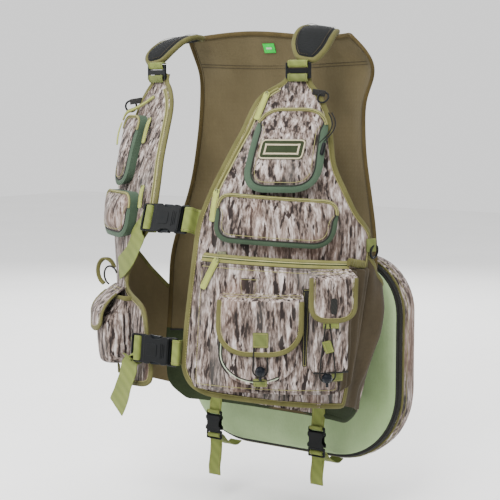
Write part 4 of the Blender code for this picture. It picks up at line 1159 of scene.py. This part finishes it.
def box_call():
    open_pocket("box_pocket_body", 1, (207, 252), (-372, -512), 9, 26, on_cargo, "box_pocket", crown=2.0,
                seed=66)
    depth_at = flap_piece("box_flap", 1, (203, 257), (-366, -434), 20, on_cargo, lambda s: on_cargo(s) + 28,
                          "box_flap_body", seed=75)
    slot_loop = rounded([(227, -398, 3.4), (234, -398, 3.4), (234, -422, 3.4), (227, -422, 3.4)], 1.5)
    skin("box_flap_slot", 1, slot_loop, lambda s, z: depth_at(s, z, 1.6), 1.4, "zip_black", "box_flap_body",
         wrinkle=0.0)
    tab("box_flap_tab", 1, 228, -438, lambda a, b: on_cargo(a) + 29, 9, 5, "webbing", "box_flap_body")
    cord("box_elastic", 224, -436, -523, on_cargo(222) + 30.6, 9.5, "box_flap_body", "box_cord", narrow=0.75)
    tab("box_cord_tab", 1, 224, -470, on_cargo(222) + 31.4, 5, 9, "webbing", "box_flap_body", lean=0.25)
    tab("box_anchor_tab", 1, 238, -516, on_cargo(222) + 23, 7, 8, "webbing_dark")
    # A black strip at the box pocket's inner side: painted shadow for the dark gap between the slate and box
    # pockets.
    tab("box_pocket_gap_shadow", 1, 202.5, -446, lambda a, b: on_cargo(a) + 1.0, 5.0, 58, "zip_black", ends=3.0)
    line = np.linspace(209, 250, 24)
    sweep("box_foot_piping", *placed(1, line, -510 + 0 * line, on_cargo(line) + 24.5), 1.6, 1.6, "zip_black",
          power=2.0)


# ------------------------------------------------------------------ right front


def right_front():
    front_panel("right", -1, RIGHT_FRONT_EDGE, "right_front_panel", -554)
    chest = [(142, -138, 14), (206, -138, 22), (206, -250, 28), (142, -250, 26)]
    zip_pocket("right_chest_pocket", -1, chest, 14, 10, "rim", "right_chest_pocket", lambda s: -138 + 0 * s,
               crown=6.5, seed=57)
    low = [(108, -258, 18), (226, -258, 22), (226, -330, 28), (108, -330, 28)]
    zip_pocket("right_map_pocket", -1, low, 17, 10, "rim", "right_map_pocket", lambda s: -258 + 0 * s,
               crown=10.0, seed=58)
    spots = smooth(np.array(((205, -146, 21), (196, -135, 20), (178, -127, 12), (158, -118, 7.5),
                             (138, -108, 6.0))), 2)
    arc, out = placed(-1, *spots.T)
    sweep("right_chest_zip_arc", arc, out, 3.0, 1.1, "tape_khaki")
    sweep("right_chest_zip_arc_line", arc + out * 0.001, out, 1.3, 0.7, "lime")
    t = np.linspace(0, 1, 20)
    s, z, d = 200 + 0 * t, -150 - 36 * t, 23.5 + 2 * np.sin(t * 3)
    sweep("right_outer_pull", *placed(-1, s, z, d), 4.2, 1.1, "lime", power=4.0,
          swell=np.clip(0.62 + 5 * t, 0, 1))
    pull("right_chest_pull", -1, 130, -142, 40, 8.0, 0, "right_chest_zip_pull_body", "right_chest_zip_pull")
    pull("right_map_pull", -1, 97, -246, 36, 9.0, 0, "right_map_zip_pull_body", "right_map_zip_pull")
    open_pocket("right_pouch_body", -1, (110, 190), (-424, -530), 28, 34, flat, "right_pouch", crown=6.0,
                power=4.0, seed=68, mouth=0.42, swell=44.0)
    flap_piece("right_pouch_flap", -1, (106, 194), (-416, -476), 26, flat, lambda s: POCKET_LIFT + 41,
               "pouch_flap_body", seed=77, reach=46.0, crown=5.0, lead=24.0)
    hang("right_chest_ring_loop", -1, ((180, -114, 4.4), (188, -115, 7), (197, -116, 11), (205, -117, 14.4)),
         4.6, "elastic")
    a = np.linspace(-0.4 * math.pi, 0.9 * math.pi, 26)
    c, q = np.cos(a), np.sin(a)
    sweep("right_side_loop", *placed(-1, 206 + 9 * c, -392 + 21 * q, 20 + 13 * c), 2.0, 3.4, "binding",
          power=4.0)
    sweep("right_side_cord", *placed(-1, 200 + 12 * c, -398 + 15 * q, 14 + 9 * c), 1.5, 1.5, "elastic",
          power=2.0, sides=8)
    a = np.linspace(math.pi, 2 * math.pi, 22)
    sweep("right_lower_loop", *placed(-1, 178 + 11 * np.cos(a), -538 + 14 * np.sin(a), 9), 2.2, 1.6,
          "binding", power=4.0)


# ------------------------------------------------------------------ shoulders

SPINES = {
    "left": ((147, -27, -50), (145, -14, -30), (142, 6, -11), (139, 30, -2), (137, 54, -3)),
    "right": ((151, -26, -51), (153, -12, -36), (151, 8, -21), (147, 30, -12), (142, 54, -10)),
}
PAD_TILTS = ((1.0, 0.10, -0.16), (1.0, 0.05, -0.18), (1.0, -0.05, -0.2), (0.97, -0.2, -0.16),
             (0.9, -0.42, -0.06))
PAD_HALVES = (17, 29, 33, 32, 29)


def shoulder(side, word):
    table = [(*p, *np.array(t) * 30, h) for p, t, h in zip(SPINES[word], PAD_TILTS, PAD_HALVES)]
    rows = smooth(table, 3.0)
    spine, wide, half = rows[:, :3], rows[:, 3:6], rows[:, 6]
    wide = unit(wide)
    up = unit(np.cross(wide, np.gradient(spine, axis=0)))
    along_it = np.linspace(0, 1, len(rows))
    end = np.clip(np.minimum(along_it, 1 - along_it) * 10, 0, 1) ** 0.5
    half = half * (0.78 + 0.22 * end)
    flip = np.array([side, 1, 1.0])
    rings = []
    a = np.linspace(0, 2 * math.pi, 36, endpoint=False)
    c, q = np.cos(a), np.sin(a)
    for i in range(len(rows)):
        w = squared(c, 0.6) * half[i]
        h = squared(q, 0.8) * (4.9 * (0.35 + 0.65 * end[i])) * (1 + 0.3 * (1 - (w / half[i]) ** 2))
        ring = spine[i] + wide[i] * w[:, None] + up[i] * (h - 4.5)[:, None]
        rings.append(ring * flip * MM)
    pad = ringed(f"{word}_shoulder_cushion", rings, "pad", stands_for=f"{word}_shoulder_pad")

    def around(order, inward, lift):
        """Places and normals down one edge of the pad and back up the other."""
        made = []
        for sign, i in [(1, i) for i in order] + [(-1, i) for i in order[::-1]]:
            spot = spine[i] + wide[i] * sign * (half[i] - inward) + up[i] * lift
            made.append(np.concatenate([spot * flip * MM, up[i] * flip]))
        return resample(np.array(made), 3.5 * MM, True)

    order = list(range(len(rows)))
    line = softened(around(order, 1.0, -4.5), 3)
    sweep(f"{word}_shoulder_binding", line[:, :3], line[:, 3:], 4.2, 4.4, "binding", closed=True)
    line = around(order[2:-2], 8.0, 0.9)
    stitch("vest", "thread_dark", line[:, :3] + line[:, 3:] * 0.0008, line[:, 3:], closed=True)
    place = Matrix.Translation((side * 139, -33, -68)) @ Matrix.Rotation(side * math.radians(8), 4, "Z")
    spots = [(6.0, 13.0), (1.0, 14.2), (-3.4, 13.0), (-3.4, 9.0), (-3.2, 6.8), (-1.6, 4.8), (1.2, 4.0),
             (3.4, 6.0), (3.4, 9.0)]
    across = place.to_3x3() @ Vector((1, 0, 0))
    strap(f"{word}_shoulder_web", [place @ Vector((0, y, z)) for y, z in spots], across, 16.5, 0.8, "webbing",
          "vest", f"{word}_shoulder_webbing", step=1.2)
    low = [(-3.0, -6.0), (-3.6, -9.0), (-3.2, -14.0), (-1.0, -17.0)]
    strap(f"{word}_shoulder_anchor", [place @ Vector((0, y, z)) for y, z in low], across, 16.5, 0.9,
          "webbing_dark", "vest", (), step=1.5)


def strap(name, path, across, half_wide, half_thick, look, body, stands_for=(), step=2.5):
    """Webbing along a path in millimetres, its width along across."""
    path = np.array([tuple(p) for p in path], float)
    across = np.array([tuple(a) for a in across], float) if not isinstance(across, Vector) else \
        np.tile(np.array(tuple(across)), (len(path), 1))
    line = smooth(np.hstack([path, across * 6]), step)
    spine, wide = line[:, :3] * MM, unit(line[:, 3:])
    normals = unit(np.cross(wide, unit(np.gradient(spine, axis=0))))
    made = sweep(name, spine, normals, half_wide, half_thick, look, body, stands_for, power=7.0, sides=20)
    if body:
        for edge in (-1, 1):
            for out in (-1, 1):
                row = spine + wide * edge * (half_wide - 3) * MM + normals * out * half_thick * MM
                stitch(body, "thread", row, normals * out, pitch=3.4, long=2.2, wide=0.6, high=0.25)
    return made


# ------------------------------------------------------------------ buckles and straps


def even(corners):
    """A closed outline with a fixed number of points."""
    return resample(rounded(corners, 0.8), closed=True, count=112)


def moulded(name, place, corners, low, high, ease, body, stands_for=(), hole=None):
    """A moulded plate in the plane (x, z) with softened edges, thick along y, with or without a slot."""
    outline = even(corners)
    matrix = np.array(place)

    def ring(loop, y):
        flat_points = np.stack([loop[:, 0], 0 * loop[:, 0] + y, loop[:, 1], 0 * loop[:, 0] + 1], 1)
        return (flat_points @ matrix.T)[:, :3] * MM

    rings = [ring(inset(outline, ease), low), ring(inset(outline, ease * 0.3), low + ease * 0.3),
             ring(outline, low + ease), ring(outline, high - ease),
             ring(inset(outline, ease * 0.3), high - ease * 0.3), ring(inset(outline, ease), high)]
    if hole is None:
        middle = outline.mean(axis=0)
        for f in (0.3, 0.6, 0.85):
            rings.append(ring(inset(outline, ease) * (1 - f) + middle * f, high))
        ringed(name, rings, "plastic", body, stands_for)
        return
    gap = even(hole)
    rings += [ring(inset(gap, -ease * 0.6), high), ring(gap, high - ease), ring(gap, low + ease),
              ring(inset(gap, -ease * 0.6), low)]
    ringed(name, rings, "plastic", body, stands_for, torus=True)


def frame_of(x0, x1, half, radius):
    return [(x0, -half, radius), (x1, -half, radius), (x1, half, radius), (x0, half, radius)]


def buckle_look(word, place, plug_body):
    """A side-release buckle: two waisted plates, an end bar, and the plug with its slots and prong."""
    side_shape = [(0.6, -21.8, 3.0), (11, -22.0, 3.0), (16.5, -17.6, 4.0), (30, -17.6, 4.0),
                  (36.5, -21.6, 4.0), (47, -20.6, 3.0), (47, 20.6, 3.0), (36.5, 21.6, 4.0),
                  (30, 17.6, 4.0), (16.5, 17.6, 4.0), (11, 22.0, 3.0), (0.6, 21.8, 3.0)]
    moulded(f"{word}_socket_front", place, side_shape, -6.9, -4.0, 1.0, "vest", f"{word}_buckle_socket")
    moulded(f"{word}_socket_rear", place, side_shape, 4.0, 6.9, 1.0, "vest")
    moulded(f"{word}_socket_core", place, frame_of(37, 48.5, 20.2, 3), -6.0, 6.0, 1.4, "vest")
    moulded(f"{word}_socket_panel", place, frame_of(6, 27, 9.5, 3.5), -7.5, -6.2, 0.5, "vest")
    for k, x in enumerate((33.5, 36.6, 39.7)):
        moulded(f"{word}_socket_rib_{k}", place, frame_of(x, x + 1.5, 12 - k, 0.7), -7.5, -6.4, 0.5, "vest")
    moulded(f"{word}_socket_bar", place, frame_of(45, 62, 21.8, 4), -2.9, 2.9, 1.1, "vest",
            hole=frame_of(50, 56.5, 18.8, 2))
    moulded(f"{word}_plug_frame", place, frame_of(-28, -15.5, 21.8, 3.5), -3.0, 3.0, 1.0, plug_body,
            f"{word}_buckle_plug", hole=frame_of(-24.5, -18.7, 18.8, 1.5))
    moulded(f"{word}_plug_head", place, frame_of(-17.6, -0.4, 21.8, 3), -3.0, 3.0, 1.0, plug_body,
            hole=frame_of(-13.5, -7.6, 18.8, 1.5))
    moulded(f"{word}_plug_prong", place, frame_of(-3, 29, 2.9, 1.6), -2.3, 2.3, 0.7, plug_body)


CLOSURES = (
    ("chest", (-43, -149, -293), 17, (27, 38, 52, 88), (104, 74, 57)),
    ("waist", (-40, -181, -491), 6, (22, 33, 48, 88), (92, 60, 35)),
)
CHEST_TAIL = ((88, -312, 7), (98, -334, 7), (114, -356, 7), (136, -371, 7), (162, -382, 7))
WAIST_TAIL = ((-73, -173, -505), (-80, -174, -524), (-92, -171, -550), (-109, -162, -576), (-128, -152, -598))


def bar_loop(deep):
    """The turn that webbing takes round a socket's bar."""
    return ((64, deep), (60, deep), (56, 0.95 * deep), (53.4, 0.45 * deep), (53.4, -0.45 * deep),
            (56, -0.95 * deep), (60, -deep), (65, -deep))


def behind(side, s, mouth, tilt):
    """Where webbing leaves the back of a panel to reach a buckle whose mouth is given."""
    near = lay(side, s, mouth[2], UNDER_PANEL) / MM
    return lay(side, s, mouth[2] - math.tan(math.radians(tilt)) * (near[1] - mouth[1]), UNDER_PANEL) / MM


def lengthwise(side, s, z, d=0.0):
    step = lay(side, s, z + 5, d) - lay(side, s, z - 5, d)
    return step / np.linalg.norm(step)


def closures():
    """The webbing and buckles of the chest and waist."""
    for word, mouth, tilt, left_stops, right_stops in CLOSURES:
        place = Matrix.Translation(mouth) @ Matrix.Rotation(math.radians(-tilt), 4, "X")
        buckle_look(word, place, f"{word}_plug")
        ring = bar_loop(3.8)
        path = [place @ Vector((x, y, 0)) for x, y in ring] + [behind(1, s, mouth, tilt) for s in left_stops]
        upright = place.to_3x3() @ Vector((0, 0, 1))
        across = [upright] * len(ring) + [lengthwise(1, s, mouth[2]) for s in left_stops]
        strap(f"left_{word}_web", path, across, 19, 0.8, "webbing", "vest", f"left_{word}_strap", step=1.6)
        path = [behind(-1, s, mouth, tilt) for s in right_stops]
        across = [lengthwise(-1, s, mouth[2]) for s in right_stops]
        loop = ((-10.5, 3.2), (-10.2, -1), (-12, -4.2), (-16, -4.8), (-20, -4.2), (-21.6, -1), (-21.8, 2.6),
                (-23.4, 4.8), (-27, 5.4))
        path += [place @ Vector((x, y, 0)) for x, y in loop]
        across += [upright] * len(loop)
        if word == "waist":
            path += list(WAIST_TAIL)
            across += [(0.2, 0.1, 0.97), (0.75, -0.1, 0.5)] + [(0.92, -0.3, 0.14)] * 3
        else:
            path += [lay(-1, *spot) / MM for spot in CHEST_TAIL]
            for (s, z, d), lean in zip(CHEST_TAIL, (0.05, 0.2, 0.45, 0.55, 0.6)):
                tangent = unit(lay(-1, s + 5, z, d) - lay(-1, s - 5, z, d))
                across.append(lengthwise(-1, s, z, d) * math.sqrt(1 - lean**2) + tangent * lean)
        web = strap(f"right_{word}_web", path, across, 19, 0.8, "webbing", None, f"right_{word}_strap",
                    step=1.6)
        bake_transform(web)


# ------------------------------------------------------------------ seat

SEAT_HALF, SEAT_TOP, SEAT_BOTTOM = 216, -368, -706
SEAT_CORNERS = ((1, 1, 88, 0), (-1, 1, 88, 90), (-1, -1, 122, 180), (1, -1, 122, 270))
SEAT_MIDDLE = np.array([0.0, 0.0, (SEAT_TOP + SEAT_BOTTOM) / 2]) * MM
RING_POINTS = 124
STRAIGHT_IN = 60.0
FACE_PROFILE = (
    (6.4, 143.6), (5.8, 142.2), (6.2, 140.4), (7.6, 138.4), (10, 136.4), (14, 134.6), (21, 132.6),
    (32, 131.0), (46, 130.2), (60, 129.9), (85, 129.6), (110, 129.4), (140, 129.2), (154, 129.2),
)
COVER_PROFILE = (
    (0.4, 152), (-2.2, 158), (-2.9, 166), (-3.0, 177), (-1.4, 188), (3, 196), (10, 202), (20, 205.5),
    (34, 207), (60, 207.6), (90, 208), (120, 208), (152, 208),
)


def seat_loop(inside):
    """The seat's outline, moved in."""
    half, top, bottom = SEAT_HALF - inside, SEAT_TOP - inside, SEAT_BOTTOM + inside
    points = []
    for sx, sz, radius, start in SEAT_CORNERS:
        r = max(radius - inside, 6.0)
        cx, cz = sx * (half - r), (top - r) if sz > 0 else (bottom + r)
        for k in range(13):
            a = math.radians(start + 7.5 * k)
            points.append((cx + r * math.cos(a), cz + r * math.sin(a)))
    loop = resample(np.array(points), 10, True)[:RING_POINTS]
    return np.stack([loop[:, 0], 0 * loop[:, 0], loop[:, 1]], 1) * MM


def seat_ring(inside, y, seed=0, amount=0.0):
    """A loop of the seat with the same number of points at every inset, so that rings join up."""
    loop = resample(seat_loop(min(inside, STRAIGHT_IN)), closed=True, count=RING_POINTS)
    if inside > STRAIGHT_IN:
        loop = loop + (SEAT_MIDDLE - loop) * (inside - STRAIGHT_IN) / 100.0
    loop[:, 1] = y * MM
    if amount:
        loop[:, 1] += waves(loop, 0.09, seed) * amount * MM
    return loop


def seat_out(ring, y, lean):
    """Directions out of the seat's middle round a ring, leaning towards its back by lean."""
    return unit(unit(ring - np.array([0, y * MM, SEAT_MIDDLE[2]])) + np.array([0, lean, 0]))


def seat():
    """The seat's face and cover, its zip and piping, and the two straps that carry it."""
    rings = [seat_ring(*place) for place in ((150, 145), (60, 145), (12, 145), (8.0, 144.6))]
    rings += [seat_ring(inside, y, 81, 2.2 if inside > 14 else 0.3) for inside, y in FACE_PROFILE]
    top = ringed("seat_cushion_face", rings, "seat_green", "seat", ("seat_face", "seat_foam"))
    rings = [seat_ring(*place) for place in ((150, 157), (60, 157), (5, 157), (1.0, 154))]
    rings += [seat_ring(inside, y, 83, 1.0 if inside > 8 else 0.5) for inside, y in COVER_PROFILE]
    cover = ringed("seat_cushion_cover", rings, "camo", "seat", "seat_cover")
    for inside, y, lean, wide, thick, look, name in (
        (3.6, 147.0, -0.75, 6.2, 1.6, "zip_black", "seat_zip_tape"),
        (2.6, 146.4, -0.75, 1.6, 1.4, "elastic", "seat_zip_teeth"),
        (-1.2, 154.6, 0.0, 2.2, 1.6, "binding", "seat_piping"),
        (12.5, 203.6, 0.5, 1.9, 1.9, "binding", "seat_cover_piping"),
    ):
        ring = seat_ring(inside, y)
        sweep(name, ring, seat_out(ring, y, lean), wide, thick, look, "seat", closed=True)
    for inside, y, lean in ((-2.8, 164, 0.0), (22, 206.4, 1.5), (27, 207.2, 1.5)):
        ring = seat_ring(inside, y)
        out = seat_out(ring, y, lean)
        stitch("seat", "thread", ring + out * 0.0006, out, closed=True)
    for side, word in ((1, "left"), (-1, "right")):
        x, y, z = side * 105.0, 72.0, -674
        place = Matrix.Translation((x, y, z)) @ Matrix.Rotation(math.radians(-90), 4, "Y")
        place = place @ Matrix.Rotation(math.pi, 4, "X") @ Matrix.Diagonal((0.55, 0.7, 0.72, 1.0))
        buckle_look(f"{word}_seat", place, f"{word}_seat_plug")
        path = [place @ Vector((a, b / 0.7, 0)) for a, b in bar_loop(2.9)]
        path += [(x, 77, -624), (x, 77.5, -612), (x, 77, -592)]
        strap(f"{word}_seat_web", path, Vector((1, 0, 0)), 12.5, 0.7, "webbing", "vest", f"{word}_seat_strap",
              step=1.5)
        path = [(x, 133.5, -703), (x, 124, -707), (x, 98, -698)]
        loop = ((-10.5, 2.9), (-10.4, -0.6), (-13, -3.1), (-16, -3.4), (-19.5, -3.1), (-21.6, -0.8),
                (-22, 1.6), (-26, 4.3))
        path += [(x, y + b * 0.7, z + a * 0.55) for a, b in loop]
        foot = {"left": -736, "right": -752}[word]
        path += [(x, 76.6, foot + 42), (x, 75, foot + 30), (x, 72, foot + 14), (x, 73, foot)]
        strap(f"{word}_seat_tail_web", path, Vector((1, 0, 0)), 12.5, 0.7, "webbing", f"{word}_seat_plug",
              f"{word}_seat_tail", step=1.5)


def hardware():
    """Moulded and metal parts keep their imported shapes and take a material."""
    for name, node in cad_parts.items():
        if node.hide_render:
            continue
        look = "plastic_blue" if "toggle" in name else "metal" if "slider" in name else "plastic"
        for slot in node.material_slots:
            slot.material = LOOKS[look][0]


def main():
    left_front()
    right_front()
    back()
    for side, word in ((1, "left"), (-1, "right")):
        side_panel(word, side)
        shoulder(side, word)
    closures()
    seat()
    hardware()


# ------------------------------------------------------------------ studio

FLOOR = -0.80
FLOOR_REACH = 6
CAMERA_TURN, CAMERA_RISE = math.radians(37), math.radians(5.5)
CAMERA_CENTRE, CAMERA_AWAY = Vector((0, 0, -0.330)), 2.3
CAMERA_AIM = Vector((0.0166, 0.0099, -0.3523))
CAMERA_LENS, CAMERA_SENSOR = 103.5, 36.0
LIGHT_AIM = Vector((0, 0, -0.38))
LIGHTS = (
    # name, place, size, power, colour
    ("key", (0.9, -2.5, 1.7), 1.3, 150, (1.0, 0.99, 0.97)),
    ("fill", (-2.4, -1.5, 0.7), 1.8, 55, (0.97, 0.985, 1.0)),
    ("top", (0.2, -0.4, 2.4), 2.0, 80, (1.0, 1.0, 1.0)),
    ("rear", (-1.6, 2.4, 1.0), 1.6, 70, (1.0, 1.0, 1.0)),
)
SKY, SKY_POWER = (1.0, 1.0, 1.0, 1.0), 1.2


def facing(place, aim):
    """The rotation that makes a camera or lamp look at a point."""
    return (aim - place).to_track_quat("-Z", "Y").to_euler()


def studio():
    flat = math.cos(CAMERA_RISE)
    away = Vector((math.sin(CAMERA_TURN) * flat, -math.cos(CAMERA_TURN) * flat, math.sin(CAMERA_RISE)))
    camera = bpy.data.objects.new("camera", bpy.data.cameras.new("camera"))
    bpy.context.collection.objects.link(camera)
    camera.location = CAMERA_CENTRE + away * CAMERA_AWAY
    camera.rotation_euler = facing(camera.location, CAMERA_AIM)
    camera.data.lens, camera.data.sensor_width = CAMERA_LENS, CAMERA_SENSOR
    bpy.context.scene.camera = camera
    for name, place, size, power, colour in LIGHTS:
        data = bpy.data.lights.new(name, "AREA")
        data.energy, data.size, data.color = power, size, colour
        lamp = bpy.data.objects.new(name, data)
        lamp.location = place
        lamp.rotation_euler = facing(lamp.location, LIGHT_AIM)
        bpy.context.collection.objects.link(lamp)
    world = bpy.context.scene.world or bpy.data.worlds.new("world")
    bpy.context.scene.world = world
    world.use_nodes = True
    sky = world.node_tree.nodes["Background"].inputs
    sky["Color"].default_value, sky["Strength"].default_value = SKY, SKY_POWER
    mesh = bpy.data.meshes.new("floor")
    mesh.from_pydata([(FLOOR_REACH * a, FLOOR_REACH * b, FLOOR) for a, b in SQUARE], [], [(0, 1, 2, 3)])
    floor = bpy.data.objects.new("floor", mesh)
    bpy.context.collection.objects.link(floor)
    n = Nodes("floor_pale")
    cloud = n.grey(n.noise(n.scaled(3, 3, 3), detail=4.0), 0.3, 0.7)
    n.finish(n.mix(cloud, (0.86, 0.86, 0.855, 1.0), (0.89, 0.89, 0.885, 1.0)), 0.92)
    mesh.materials.append(n.material)


main()
sew_all()
studio()
